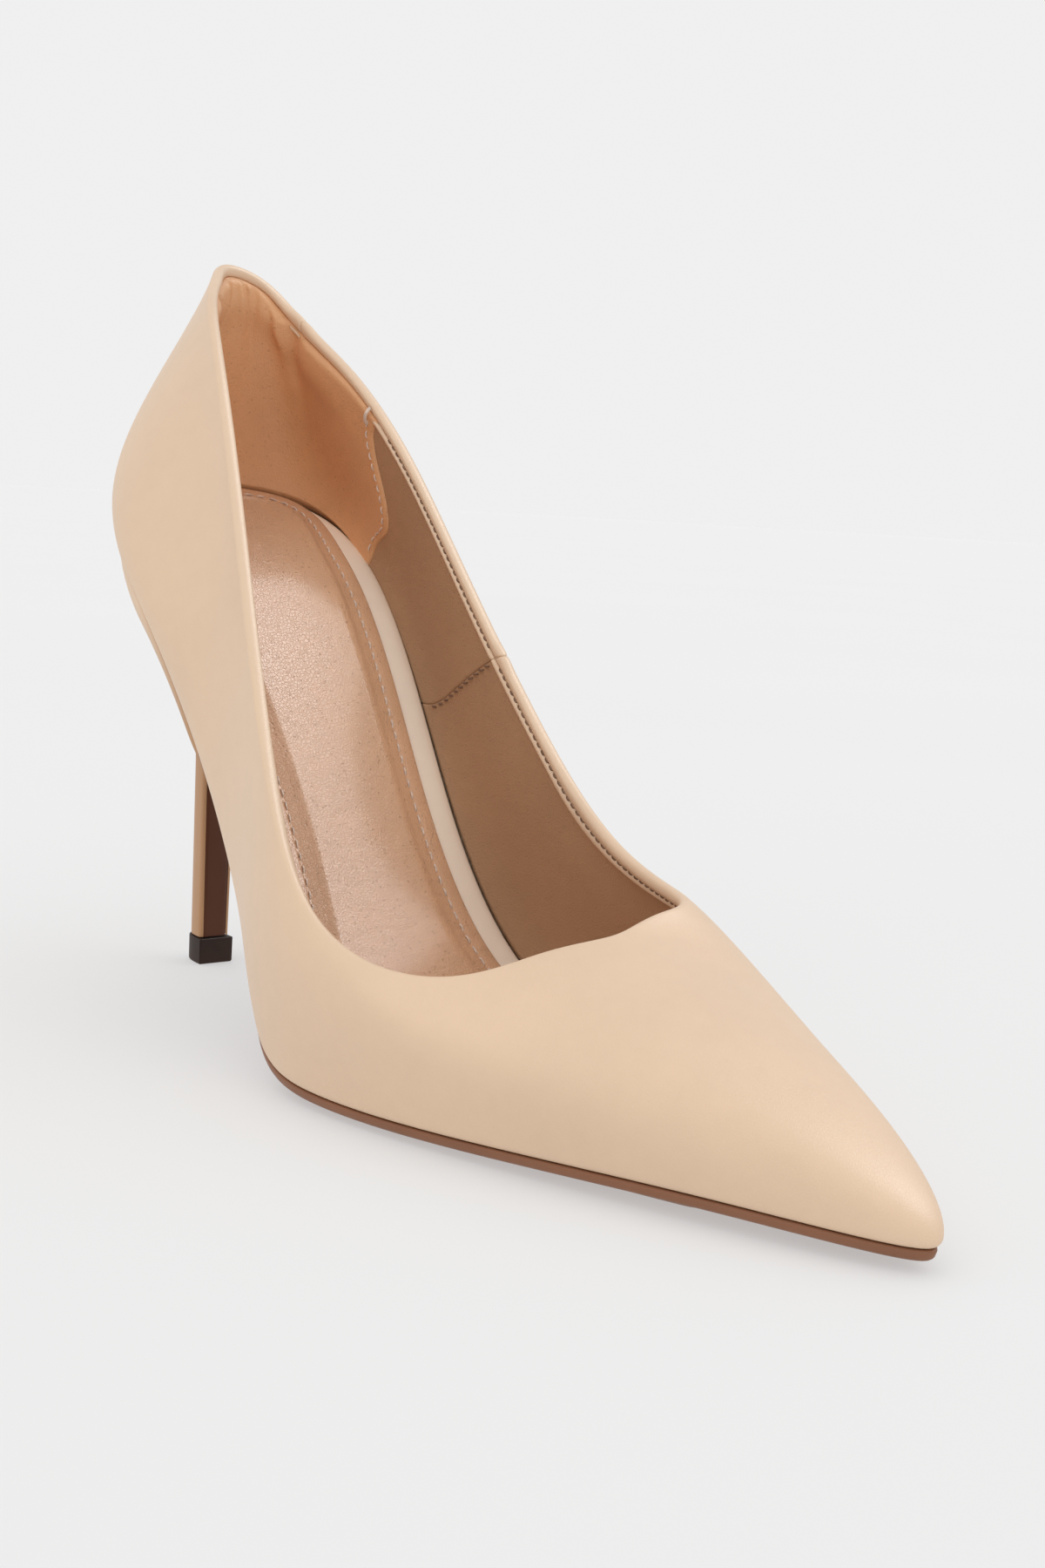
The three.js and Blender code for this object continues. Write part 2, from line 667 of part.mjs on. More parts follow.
// Sole leather that runs on down the flat front of the heel.
function breastCover() {
  const grid = heelLevels.slice(1).map((v) => {
    const left = heelFace(HEEL_REACH, v);
    const right = heelFace(-HEEL_REACH, v);
    const trim = BREAST_TRIM / right.distanceTo(left);
    return [trim, 1 - trim].map((share) => {
      const point = left.clone().lerp(right, share);
      return [point.clone(), point.addScaledVector(breastOutward(v), -HEEL_COVER_THICK)];
    });
  });
  return gridSolid(grid);
}

const stemCentre = new THREE.Vector3(STEM_X, STEM_FRONT * LENGTH_SCALE + STEM_DEPTH / 2, 0);
const upAxis = new THREE.Vector3(0, 0, 1);

function rod(radius, low, high) {
  return turned([[0, low], [radius, low], [radius, high], [0, high]], stemCentre, upAxis);
}

const tubeLow = liftTop + GLUE_GAP;
const tubeHigh = tubeLow + TUBE_LENGTH;

function heelTube() {
  const outline = [
    [TUBE_BORE, tubeLow], [TUBE_RADIUS, tubeLow], [TUBE_RADIUS, tubeHigh], [TUBE_BORE, tubeHigh],
    [TUBE_BORE, tubeLow],
  ];
  return turned(outline, stemCentre, upAxis);
}

function topLift() {
  const ring = (height) =>
    stations(-HEEL_REACH, HEEL_REACH).map((turn) => {
      const point = stemPoint(turn, 0, LIFT_OVERHANG, LIFT_OVERHANG_FRONT);
      return point.setZ(height);
    });
  const solid = ringSolid([ring(LIFT_HEIGHT), ring(0)]);
  return cut(solid, rod(PIN_RADIUS + FASTENER_CLEARANCE, PIN_BOTTOM - GLUE_GAP, LIFT_HEIGHT + 1));
}

// ---- Fasteners that hold the heel and the shank ----
const SCREW_PLACE = [-1, 84];
const NAIL_PLACES = [[-13, 76], [11, 76], [-9, 90], [8, 90]];
const RIVET_STATIONS = [4.35, 2.75];
const scaled = ([x, y]) => [x * WIDTH_SCALE, y * LENGTH_SCALE];
const headLevel = boardTop;
const screwAt = (grow) => fastener(SCREW, ...scaled(SCREW_PLACE), headLevel, grow);
const nailAt = (place, grow) => fastener(NAIL, ...scaled(place), headLevel, grow);
const rivetAt = (turn, grow) => fastener(RIVET, ...middle(turn), headLevel, grow);
const nailHoles = NAIL_PLACES.map((place) => nailAt(place, FASTENER_CLEARANCE));
const seatHoles = [screwAt(FASTENER_CLEARANCE), ...nailHoles];
const rivetHoles = RIVET_STATIONS.map((turn) => rivetAt(turn, FASTENER_CLEARANCE));

// ---- Materials ----
const finish = (color, roughness, metalness = 0) => ({ color, roughness, metalness });
const NAPPA = finish(0xe8cfb4, 0.45);
const LINING = finish(0xb08a6c, 0.6);
const HEEL_LINING = finish(0xc08a5e, 0.6);
const SOCK = finish(0xc69979, 0.35);
const WRAP = finish(0xe9caad, 0.5);
const SOLE = finish(0xa0755a, 0.5);
const LIFT = finish(0x37261c, 0.6);
const STEEL = finish(0x9a9da0, 0.35, 1);
const BRASS = finish(0xb8965a, 0.4, 1);
const FIBRE = finish(0xcbb694, 0.9);
const FELT = finish(0xd8d2c6, 0.95);
const FOAM = finish(0xe6dcc4, 0.9);
const CORK = finish(0xb48a5c, 0.95);
const PLASTIC = finish(0xd9cdbb, 0.5);

// ---- Assembly ----
const group = new THREE.Group();

function add(name, geometry, material) {
  const mesh = new THREE.Mesh(geometry, new THREE.MeshStandardMaterial(material));
  mesh.name = name;
  group.add(mesh);
}

const lateral = LATERAL_SEAM;
const medial = SIDE_SEAM;
const medialHeel = HEEL_LINING_MEDIAL + KEYS;
const puffFrom = PUFF_FROM - BACKING_BREAK;
const puffTo = PUFF_TO + BACKING_BREAK;
const counterTop = heightOf(COUNTER_TOP);
const gripLow = heightOf(COUNTER_TOP + PUFF_GAP);
const puffTop = heightOf(PUFF_TOP);
const abovePuff = heightOf(PUFF_TOP + PUFF_GAP);

function lining(from, to) {
  return wallPiece(from, to, liningRows, liningDepth, innerDepth);
}

add("vamp", wallPiece(REAR_SEAM, medial, upperRows, 0, UPPER_THICK), NAPPA);
add("medial_quarter", wallPiece(medial, REAR_SEAM + KEYS, upperRows, 0, UPPER_THICK), NAPPA);
add("topline_binding", toplineBinding(), NAPPA);
add("topline_tape", toplineTape(), FELT);
add("toe_puff", backing(PUFF_FROM, PUFF_TO, layerLow, puffTop, COUNTER_THICK), FIBRE);
add("vamp_backing", backing(PUFF_FROM, PUFF_TO, abovePuff, backingTop, BACKING_THICK), FELT);
add("lateral_backing", backing(lateral, puffFrom, layerLow, backingTop, BACKING_THICK), FELT);
add("medial_backing", backing(puffTo, medial, layerLow, backingTop, BACKING_THICK), FELT);
add("heel_counter", backing(-COUNTER_REACH, COUNTER_REACH, layerLow, counterTop, COUNTER_THICK), FIBRE);
add("vamp_lining", lining(lateral, medial), LINING);
add("medial_quarter_lining", lining(medial, medialHeel), LINING);
add("lateral_quarter_lining", lining(HEEL_LINING_LATERAL, lateral), LINING);
add("heel_lining", lining(HEEL_LINING_MEDIAL, HEEL_LINING_LATERAL), HEEL_LINING);
add("heel_grip_foam", backing(-GRIP_REACH, GRIP_REACH, gripLow, heightOf(GRIP_TOP), GRIP_FOAM_THICK), FOAM);

const board = sheet(BOARD_INSET, boardLow, boardTop, 0, TOE_KEY);
const sockFoamInset = WRAP_INSET + WRAP_WIDTH + GLUE_GAP;
const fillerTop = FILLER_LOW + FILLER_THICK;
const forefootFiller = sheet(FILLER_INSET, FILLER_LOW, fillerTop, SHANK_FRONT + FILLER_BREAK, FILLER_FRONT);
const heelFiller = sheet(FILLER_INSET, FILLER_LOW, fillerTop, FILLER_BACK, SHANK_BACK - FILLER_BREAK);
add("insole_board", cut(board, ...seatHoles, ...rivetHoles), FIBRE);
add("insole_wrap", insoleWrap(), WRAP);
add("sock_foam", sheet(sockFoamInset, wrapLow, wrapTop, SOCK_FOAM_BACK, SOCK_FOAM_FRONT), FOAM);
add("sock", sheet(SOCK_INSET, sockLow, sockLow + SOCK_THICK, 0, SOCK_FRONT), SOCK);
add("steel_shank", cut(steelShank(), ...rivetHoles), STEEL);
RIVET_STATIONS.forEach((turn, i) => add(`shank_rivet_${i + 1}`, rivetAt(turn, 0), BRASS));
add("bottom_filler", forefootFiller, CORK);
add("seat_filler", cut(heelFiller, ...seatHoles), CORK);
add("outsole", outsole(), SOLE);

const bore = rod(TUBE_RADIUS + FASTENER_CLEARANCE, liftTop - 1, tubeHigh + GLUE_GAP);
add("heel_block", cut(ringSolid(coreRings()), bore, ...seatHoles), PLASTIC);
add("heel_cover", heelCover(), NAPPA);
add("breast_cover", breastCover(), SOLE);
add("heel_tube", heelTube(), STEEL);
add("top_lift", topLift(), LIFT);
add("top_lift_pin", rod(PIN_RADIUS, PIN_BOTTOM, PIN_TOP), STEEL);
add("heel_screw", screwAt(0), STEEL);
NAIL_PLACES.forEach((place, i) => add(`heel_nail_${i + 1}`, nailAt(place, 0), STEEL));

// The middle of the shoe's outline stands on the origin.
const box = new THREE.Box3().setFromObject(group);
const centre = box.getCenter(new THREE.Vector3());
group.position.set(-centre.x, -centre.y, -box.min.z);

export default group;
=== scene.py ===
"""High heel pump: leather upper, linings, sock, sole, heel and stitching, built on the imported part."""

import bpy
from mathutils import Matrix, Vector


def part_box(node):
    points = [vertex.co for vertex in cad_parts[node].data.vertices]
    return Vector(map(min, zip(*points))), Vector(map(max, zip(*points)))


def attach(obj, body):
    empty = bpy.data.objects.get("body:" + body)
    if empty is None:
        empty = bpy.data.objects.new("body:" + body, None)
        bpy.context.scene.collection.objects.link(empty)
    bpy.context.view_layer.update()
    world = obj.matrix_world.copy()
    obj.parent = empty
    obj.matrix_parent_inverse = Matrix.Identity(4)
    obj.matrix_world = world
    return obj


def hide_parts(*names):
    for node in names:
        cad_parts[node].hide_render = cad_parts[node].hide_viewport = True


bl_info = {
    "name": "High Heel Pump",
    "version": (1, 0, 0),
    "blender": (4, 5, 0),
    "location": "View3D > Sidebar > Pump",
    "description": "Makes the leather pieces, stitching and studio of a pointed high heel pump",
    "category": "Object",
}

import math

import bmesh
import bpy
import numpy as np
from bpy.props import FloatProperty, FloatVectorProperty, PointerProperty
from mathutils import Matrix, Vector

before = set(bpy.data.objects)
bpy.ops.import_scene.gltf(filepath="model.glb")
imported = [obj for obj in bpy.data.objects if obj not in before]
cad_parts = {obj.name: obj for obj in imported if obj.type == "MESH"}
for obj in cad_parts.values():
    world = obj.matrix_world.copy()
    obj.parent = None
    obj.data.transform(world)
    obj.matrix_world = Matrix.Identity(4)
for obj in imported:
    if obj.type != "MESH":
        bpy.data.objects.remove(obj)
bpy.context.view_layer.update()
MM = 0.001

# ---- Shape of the shoe, in millimetres, with the ball of the foot near y = -10 ----

# Feather line, where upper and sole meet: 16 keys from the back of the heel, round the
# outer side to the toe tip, and back along the inner side.
FEATHER_KEYS = [
    (0, 108), (-20.5, 101), (-33.5, 79.5), (-30.5, 49), (-32, 23), (-38.5, -6), (-24, -60.5), (-5.5, -106),
    (4, -118.5), (11, -107.5), (25, -66), (35.5, -18), (27.5, 22), (25.5, 50), (27, 80), (19.5, 101),
]
KEYS = len(FEATHER_KEYS)
TOE_KEY = KEYS / 2

# Topline at the same keys: x, y, and height above the bottom profile.
TOPLINE_KEYS = [
    (0.5, 104.3, 54.6), (-6.5, 96, 54.3), (-15.5, 80, 54), (-26.5, 48, 55.5), (-37, 16, 57.5), (-41, -12.5, 35),
    (-30, -35.5, 27), (-13.5, -43.5, 31), (-1, -46.5, 33.5), (10.5, -44.5, 35.7), (22.2, -38.5, 37.2),
    (27.5, -12.5, 43), (27, 16.5, 58), (25, 50.5, 50.5), (19, 87.5, 46), (12, 102.5, 52),
]

# Handles of the wall's curve, from the back to the toe: how far it leaves the feather line
# outwards and upwards, and how far it reaches the topline from outside and below.
WALL_HANDLES = [
    (5.7, 11.8, 4.4, 18.2), (9.1, 13, 7.1, 17), (5.5, 12.8, 5.1, 17), (7.3, 11.5, 0.8, 14.2),
    (6, 13.9, 0.8, 12), (4.4, 16.5, 4.6, 6), (5.2, 12.8, 11.2, 7.4), (3.2, 10.7, 20.4, 7.5),
    (4.8, 10, 27.4, 8.8),
]

# Bottom profile: place along the shoe, and share of the seat's rise.
PROFILE_PLACES = (-118.5, -90, -50, -10, 12, 35, 58, 80, 108)
PROFILE_RISE = (0.006, 0.013, 0.004, 0, 0.053, 0.303, 0.632, 0.86, 1)
SEAT_HEIGHT = 102.5
SOLE_LIFT = 3.6
FOOT_MIDDLE = 25.0  # above the bottom profile

SIDE_SEAM = 13.18
REAR_SEAM = 14.53
LATERAL_SEAM = KEYS - SIDE_SEAM
SEAM_LEAN = 0.93
SEAM_SPREAD = 2.0
SPINE_START = 2.0
SPINE_END = 6.7
INSET_LIMIT = 0.72
INSET_SQUARE = 0.45
STEP = 0.01

# Heights of the bottom's layers above the bottom profile.
BOARD_TOP = 3.1
SOCK_LOW = 4.7
SOCK_TOP = 5.7
SOCK_INSET = 8.6
SOCK_INSET_BACK = 3.8
SOCK_DISH = 0.7
SOLE_INSET = 0.4
GLUE_GAP = 0.3
SOLE_EDGE = 1.7
TREAD = (-78, 2, 16)  # front and back of the flat tread, and how far it takes to ease in

# Heel: keys that it covers on each side, stem, and the curves of its flare.
HEEL_REACH = 3.0
STEM_X = 0.0
STEM_FRONT = 96.8
STEM_DEPTH = 7.3
STEM_WIDTH = 7.4
STEM_WIDTH_TOP = 8.4
STEM_TOP = 46.0
STEM_SQUARE = 0.7
RIM_DROP_SIDE = 13.0
RIM_DROP_BACK = 24.0
STEM_RISE_SIDE = 26.0
STEM_RISE_BREAST = 34.0
LIP_RUN = 17.0
LIP_DROP = 5.0
LIFT_HEIGHT = 6.0
LIFT_OVERHANG = 0.5
LIFT_OVERHANG_FRONT = 1.0
BREAST_TRIM = 0.9

# The stem's centre is known in both frames, so it gives the shift from these millimetres
# to the row frame.
tube_low, tube_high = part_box("heel_tube")
ORIGIN = np.array([
    (tube_low.x + tube_high.x) / 2 - STEM_X * MM,
    (tube_low.y + tube_high.y) / 2 - (STEM_FRONT + STEM_DEPTH / 2) * MM,
    0.0,
])


def linear(hex_colour):
    """Linear RGBA of an sRGB hex colour."""
    parts = [int(hex_colour[i : i + 2], 16) / 255 for i in (1, 3, 5)]
    return (*[c / 12.92 if c <= 0.04045 else ((c + 0.055) / 1.055) ** 2.4 for c in parts], 1.0)


# ---- Curves and surfaces ----


def spline(places, keys, period=0.0):
    """Smooth curve through keys at the given places; with a period it closes on itself."""
    places = np.asarray(places, float)
    keys = np.asarray(keys, float).reshape(len(places), -1)
    count = len(places)
    spans = count if period else count - 1
    gaps = np.append(np.diff(places), places[0] + period - places[-1])
    system = np.zeros((count, count))
    pull = np.zeros_like(keys)
    for i in range(spans):
        after = (i + 1) % count
        rise = 3 * (keys[after] - keys[i]) / gaps[i] ** 2
        for a, b in ((i, after), (after, i)):
            system[a, a] += 2 / gaps[i]
            system[a, b] += 1 / gaps[i]
            pull[a] += rise
    slopes = np.linalg.solve(system, pull)

    def curve(place):
        at = np.mod(place, period) if period else np.asarray(place, float)
        i = np.clip(np.searchsorted(places, at, side="right") - 1, 0, spans - 1)
        after = (i + 1) % count
        gap = gaps[i][..., None]
        t = (at - places[i])[..., None] / gap
        rise = keys[after] - keys[i]
        start, end = slopes[i] * gap, slopes[after] * gap
        return keys[i] + t * (start + t * (3 * rise - 2 * start - end + t * (start + end - 2 * rise)))

    return curve


feather = spline(range(KEYS), FEATHER_KEYS, KEYS)
topline = spline(range(KEYS), TOPLINE_KEYS, KEYS)
handles = spline(range(KEYS), WALL_HANDLES + WALL_HANDLES[-2:0:-1], KEYS)
profile_curve = spline(PROFILE_PLACES, [SOLE_LIFT + share * SEAT_HEIGHT for share in PROFILE_RISE])


def profile(y):
    """Height of the bottom profile at y."""
    return profile_curve(y)[..., 0]


def smooth(value, low, high):
    """Smooth step from 0 at low to 1 at high."""
    t = np.clip((value - low) / (high - low), 0, 1)
    return t * t * (3 - 2 * t)


def unit(vectors):
    """Vectors scaled to length 1."""
    return vectors / np.maximum(np.linalg.norm(vectors, axis=-1, keepdims=True), 1e-9)


def mix(a, b, share):
    """Point between a and b; share may be an array."""
    share = np.asarray(share, float)
    return a + (b - a) * (share[..., None] if share.ndim and np.ndim(a) > share.ndim else share)


def bezier(points, t):
    """Point on a cubic curve of four control points."""
    t = np.asarray(t, float)[..., None]
    a, b, c, d = points
    return a * (1 - t) ** 3 + 3 * b * t * (1 - t) ** 2 + 3 * c * t**2 * (1 - t) + d * t**3


def seat(x, y, lift=0.0):
    """Point at x, y of the bottom profile, raised by a distance square to it."""
    x, y, lift = np.broadcast_arrays(np.asarray(x, float), np.asarray(y, float), np.asarray(lift, float))
    slope = (profile(y + STEP) - profile(y - STEP)) / (2 * STEP)
    stretch = np.hypot(1, slope)
    return np.stack([x, y - lift * slope / stretch, profile(y) + lift / stretch], -1)


def seat_normal(x, y):
    """Direction square to the bottom profile."""
    return unit(seat(x, y, 1.0) - seat(x, y, 0.0))


def middle(turn):
    """Middle of the shoe at a place on the ring of keys, short of the toe and the heel."""
    ring = np.mod(turn, KEYS)
    folded = np.clip(np.minimum(ring, KEYS - ring), SPINE_START, SPINE_END)
    return (feather(folded) + feather(KEYS - folded)) / 2


def inward(turn, inset):
    """Feather outline moved inwards."""
    edge = feather(turn)
    to_middle = middle(turn) - edge
    reach = np.linalg.norm(to_middle, axis=-1)
    along = unit(feather(turn + STEP) - feather(turn - STEP))
    square = (to_middle[..., 1] * along[..., 0] - to_middle[..., 0] * along[..., 1]) / reach
    share = np.minimum(inset / np.maximum(square, INSET_SQUARE) / reach, INSET_LIMIT)
    return mix(edge, edge + to_middle, share)


def on_seat(turns, inset, lift):
    """Points a distance in from the feather line, raised square to the bottom profile."""
    return seat(*np.moveaxis(inward(turns, inset), -1, 0), lift)


def leaning(turn, t):
    """The side seams lean forward as they rise to the topline."""
    ring = np.mod(turn, KEYS)
    bumps = [
        np.cos(math.pi / 2 * np.minimum(1, np.abs(ring - seam) / SEAM_SPREAD)) ** 2
        for seam in (SIDE_SEAM, LATERAL_SEAM)
    ]
    return turn - SEAM_LEAN * (bumps[0] - bumps[1]) * np.maximum(t, 0)


def wall(turn, t):
    """Outer face of the upper: t is 0 at the feather line and 1 at the topline."""
    turn, t = np.broadcast_arrays(np.asarray(turn, float), np.asarray(t, float))
    place = leaning(turn, t)
    edge = feather(place)
    along = unit(feather(place + STEP) - feather(place - STEP))
    out = np.stack([along[..., 1], -along[..., 0], np.zeros_like(place)], -1)
    up = np.array([0.0, 0.0, 1.0])
    foot_out, foot_up, top_out, top_down = np.moveaxis(handles(place), -1, 0)[..., None]
    crest = topline(place)
    foot = np.stack([edge[..., 0], edge[..., 1], profile(edge[..., 1])], -1)
    top = np.stack([crest[..., 0], crest[..., 1], profile(crest[..., 1]) + crest[..., 2]], -1)
    points = (foot, foot + out * foot_out + up * foot_up, top + out * top_out - up * top_down, top)
    return bezier(points, t)


def wall_normal(turn, t):
    """Direction out of the upper's outer face."""
    along = wall(turn + STEP, t) - wall(turn - STEP, t)
    across = wall(turn, t + STEP) - wall(turn, t - STEP)
    return unit(np.cross(along, across))


def layer(turn, t, depth):
    """Point under the upper's outer face."""
    turn, t, depth = np.broadcast_arrays(*[np.asarray(v, float) for v in (turn, t, depth)])
    return wall(turn, t) - wall_normal(turn, t) * depth[..., None]


def below_topline(turn, drop):
    """Place on the wall that lies a distance below the topline."""
    _, _, top_out, top_down = np.moveaxis(handles(turn), -1, 0)
    return 1 - drop / (3 * np.hypot(top_out, top_down))


def above_feather(turn, rise):
    """Place on the wall that lies a distance above the feather line."""
    foot_out, foot_up, _, _ = np.moveaxis(handles(turn), -1, 0)
    return rise / (3 * np.hypot(foot_out, foot_up))


def ring_speed(turn):
    """Millimetres along the feather line for one key."""
    return np.linalg.norm(feather(turn + STEP) - feather(turn - STEP), axis=-1) / (2 * STEP)


SEAM_COLUMNS = np.array([0, 0.08, 0.2, 0.38, 0.62, 0.95, 1.4, 2.0])  # millimetres from a seam


def columns(start, end, per_key):
    """Places from one seam to another, close together beside each seam."""
    plain = np.arange(math.ceil(start * per_key), math.floor(end * per_key) + 1) / per_key
    near_start = start + SEAM_COLUMNS / ring_speed(np.array(start))
    near_end = end - SEAM_COLUMNS / ring_speed(np.array(end))
    inside = plain[(plain > near_start[-1] + 0.3 / per_key) & (plain < near_end[-1] - 0.3 / per_key)]
    return np.concatenate([near_start, inside, near_end[::-1]])


def sock_inset(turns):
    """Distance from the feather line to the sock's edge, which runs wider round the back of the heel."""
    ring = np.mod(turns, KEYS)
    from_back = np.minimum(ring, KEYS - ring)
    return SOCK_INSET_BACK + (SOCK_INSET - SOCK_INSET_BACK) * smooth(from_back, 0.7, 2.1)


def seam_distance(turns):
    """Distance of each column from the nearer end of its piece."""
    speed = ring_speed(turns)
    return np.minimum((turns - turns[0]) * speed, (turns[-1] - turns) * speed)


def rounded(distance, radius):
    """How far a rounded edge has dropped at a distance from its end."""
    return radius - np.sqrt(np.maximum(radius**2 - np.maximum(radius - distance, 0) ** 2, 0))


def round_share(distance, size):
    """Rise of a rounded edge: 0 at its end, 1 from its size on."""
    return np.sqrt(np.clip(1 - (1 - np.minimum(distance, size) / size) ** 2, 0, 1))


# ---- Meshes ----


def grid_faces(rows, count, close_columns=False, close_rows=False):
    """Quads of a grid of points, optionally closed on itself either way."""
    row = np.arange(rows if close_rows else rows - 1)
    column = np.arange(count if close_columns else count - 1)
    a, b = (i.ravel() for i in np.meshgrid(row, column, indexing="ij"))
    up, right = (a + 1) % rows, (b + 1) % count
    return np.stack([a * count + b, a * count + right, up * count + right, up * count + b], -1)


def make_mesh(name, points, faces, material, facing=0):
    """Smooth mesh from millimetre points. facing 1 turns its faces away from the shoe's middle, -1 towards it."""
    points = np.asarray(points, float).reshape(-1, 3)
    mesh = bpy.data.meshes.new(name)
    mesh.from_pydata((points * MM + ORIGIN).tolist(), [], [list(map(int, face)) for face in faces])
    work = bmesh.new()
    work.from_mesh(mesh)
    bmesh.ops.remove_doubles(work, verts=work.verts, dist=1e-7)
    bmesh.ops.dissolve_degenerate(work, edges=work.edges, dist=1e-7)
    bmesh.ops.recalc_face_normals(work, faces=work.faces)
    if facing:
        total = 0.0
        for face in work.faces:
            centre = (np.array(face.calc_center_median()) - ORIGIN) / MM
            axis = np.array([0, centre[1], profile(centre[1]) + FOOT_MIDDLE])
            total += float(np.dot(np.array(face.normal), centre - axis)) * face.calc_area()
        if total * facing < 0:
            bmesh.ops.reverse_faces(work, faces=work.faces)
    for face in work.faces:
        face.smooth = True
    work.to_mesh(mesh)
    work.free()
    mesh.materials.append(material)
    piece = bpy.data.objects.new(name, mesh)
    bpy.context.scene.collection.objects.link(piece)
    return piece


def grid_piece(name, grid, material, facing=0, close_columns=False, close_rows=False):
    """Piece whose mesh is a grid of points."""
    grid = np.asarray(grid)
    faces = grid_faces(grid.shape[0], grid.shape[1], close_columns, close_rows)
    return make_mesh(name, grid, faces, material, facing)


def place_piece(piece, slot, *nodes):
    """Fixes a piece to the shoe and hides the CAD nodes that it stands for. The slot, its finish's name, is not used.
    """
    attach(piece, "root")
    if nodes:
        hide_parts(*nodes)
    return piece


def sheet_mesh(name, turns, rows, fill, fill_steps, material):
    """Closed sheet on the bottom profile: rows of (inset, lift) from its edge inwards, then a middle filled
    straight across. fill gives the middle's points from x, y and the place across, -1 to 1."""
    grid = np.stack([on_seat(turns, inset, lift) for inset, lift in rows])
    count = len(turns)
    half = count // 2
    inner = inward(turns, rows[-1][0])
    left, right = inner[: half + 1], inner[-np.arange(half + 1) % count]
    shares = np.linspace(0, 1, fill_steps + 1)
    across = left[:, None] + (right - left)[:, None] * shares[None, :, None]
    filled = fill(across[..., 0], across[..., 1], 2 * shares - 1)
    faces = grid_faces(*grid.shape[:2], close_columns=True)
    filled_faces = grid_faces(*filled.shape[:2]) + grid.shape[0] * count
    points = np.concatenate([grid.reshape(-1, 3), filled.reshape(-1, 3)])
    return make_mesh(name, points, np.concatenate([faces, filled_faces]), material)


def arc_lengths(path):
    """Length along a path at each of its points."""
    return np.concatenate([[0], np.cumsum(np.linalg.norm(np.diff(path, axis=0), axis=1))])


def resample(path, normals, at):
    """Points and normals at lengths along a path."""
    length = arc_lengths(path)
    point = np.stack([np.interp(at, length, path[:, k]) for k in range(3)], -1)
    normal = np.stack([np.interp(at, length, normals[:, k]) for k in range(3)], -1)
    return point, unit(normal)


THREAD_SIDES = 8
TAIL_STEPS = 6
# One stitch: place along it from -1 to 1, then its height and thickness in thread radii.
STITCH_SHAPE = np.array([
    (-1, -0.8, 0.55), (-0.82, 0.15, 0.9), (-0.45, 0.75, 1), (0, 0.9, 1.04),
    (0.45, 0.75, 1), (0.82, 0.15, 0.9), (1, -0.8, 0.55),
])


def thread_ring(up, side):
    """Directions round a thread from two directions square to it."""
    angle = np.arange(THREAD_SIDES) / THREAD_SIDES * 2 * math.pi
    return up[..., None, :] * np.cos(angle)[:, None] + side[..., None, :] * np.sin(angle)[:, None]


def stitch_row(name, path, normals, pitch, share, width, material, slant=0.0, seed=3):
    """Row of stitches: each is a bowed length of thread whose ends dive into the leather."""
    chance = np.random.default_rng(seed)
    total = arc_lengths(path)[-1]
    count = max(2, round(total / pitch))
    centres = (np.arange(count) + 0.5) * total / count
    half = total / count * share / 2 * (1 + chance.uniform(-0.05, 0.05, count))
    at = centres[:, None] + half[:, None] * STITCH_SHAPE[:, 0]
    point, normal = resample(path, normals, at)
    ahead, _ = resample(path, normals, at + 0.05)
    behind, _ = resample(path, normals, at - 0.05)
    along = unit(ahead - behind)
    side = unit(np.cross(along, normal))
    tilt = slant + chance.uniform(-0.04, 0.04, count)
    point = point + side * (half * tilt)[:, None, None] * STITCH_SHAPE[:, 0][None, :, None]
    point = point + normal * (STITCH_SHAPE[:, 1] * width / 2)[None, :, None]
    ring = thread_ring(normal, side)
    radius = STITCH_SHAPE[:, 2] * width / 2
    points = point[..., None, :] + ring * radius[None, :, None, None]
    one = grid_faces(len(STITCH_SHAPE), THREAD_SIDES, close_columns=True)
    size = len(STITCH_SHAPE) * THREAD_SIDES
    faces = (one[None] + (np.arange(count) * size)[:, None, None]).reshape(-1, 4)
    return make_mesh(name, points, faces, material)


def thread_tail(name, path, width, material):
    """Loose end of thread along a few points."""
    path = np.asarray(path, float)
    places = np.linspace(0, len(path) - 1, TAIL_STEPS * len(path))
    curve = spline(range(len(path)), path)(places)
    along = unit(np.gradient(curve, axis=0))
    side = unit(np.cross(along, np.array([0.3, 0.5, 0.8])))
    other = np.cross(along, side)
    ring = thread_ring(side, other)
    return grid_piece(name, curve[:, None] + ring * width / 2, material, close_columns=True)


# ---- Materials ----


def add_node(tree, kind, inputs=None, **attributes):
    """Adds a node. Attributes are set on it, and each input takes a value or another node's output."""
    made = tree.nodes.new(kind)
    for name, value in attributes.items():
        setattr(made, name, value)
    for name, value in (inputs or {}).items():
        if isinstance(value, bpy.types.NodeSocket):
            tree.links.new(value, made.inputs[name])
        else:
            made.inputs[name].default_value = value
    return made


def new_material(name, **sockets):
    """Material with a Principled shader; returns the material, its tree, the shader and its coordinates."""
    material = bpy.data.materials.new(name)
    material.use_nodes = True
    tree = material.node_tree
    tree.nodes.clear()
    shader = add_node(tree, "ShaderNodeBsdfPrincipled", sockets)
    add_node(tree, "ShaderNodeOutputMaterial", {"Surface": shader.outputs[0]})
    place = add_node(tree, "ShaderNodeTexCoord").outputs["Object"]
    return material, tree, shader, place


def per_mm(size):
    """Texture scale that repeats once in this many millimetres."""
    return 1 / (size * MM)


def set_colour(tree, shader, amount, dark, light, low=0.3, high=0.7):
    """Colours the shader between two colours by an amount."""
    ramp = add_node(tree, "ShaderNodeValToRGB", {"Fac": amount})
    ramp.color_ramp.elements[0].position = low
    ramp.color_ramp.elements[0].color = dark
    ramp.color_ramp.elements[1].position = high
    ramp.color_ramp.elements[1].color = light
    tree.links.new(ramp.outputs["Color"], shader.inputs["Base Color"])
    return ramp


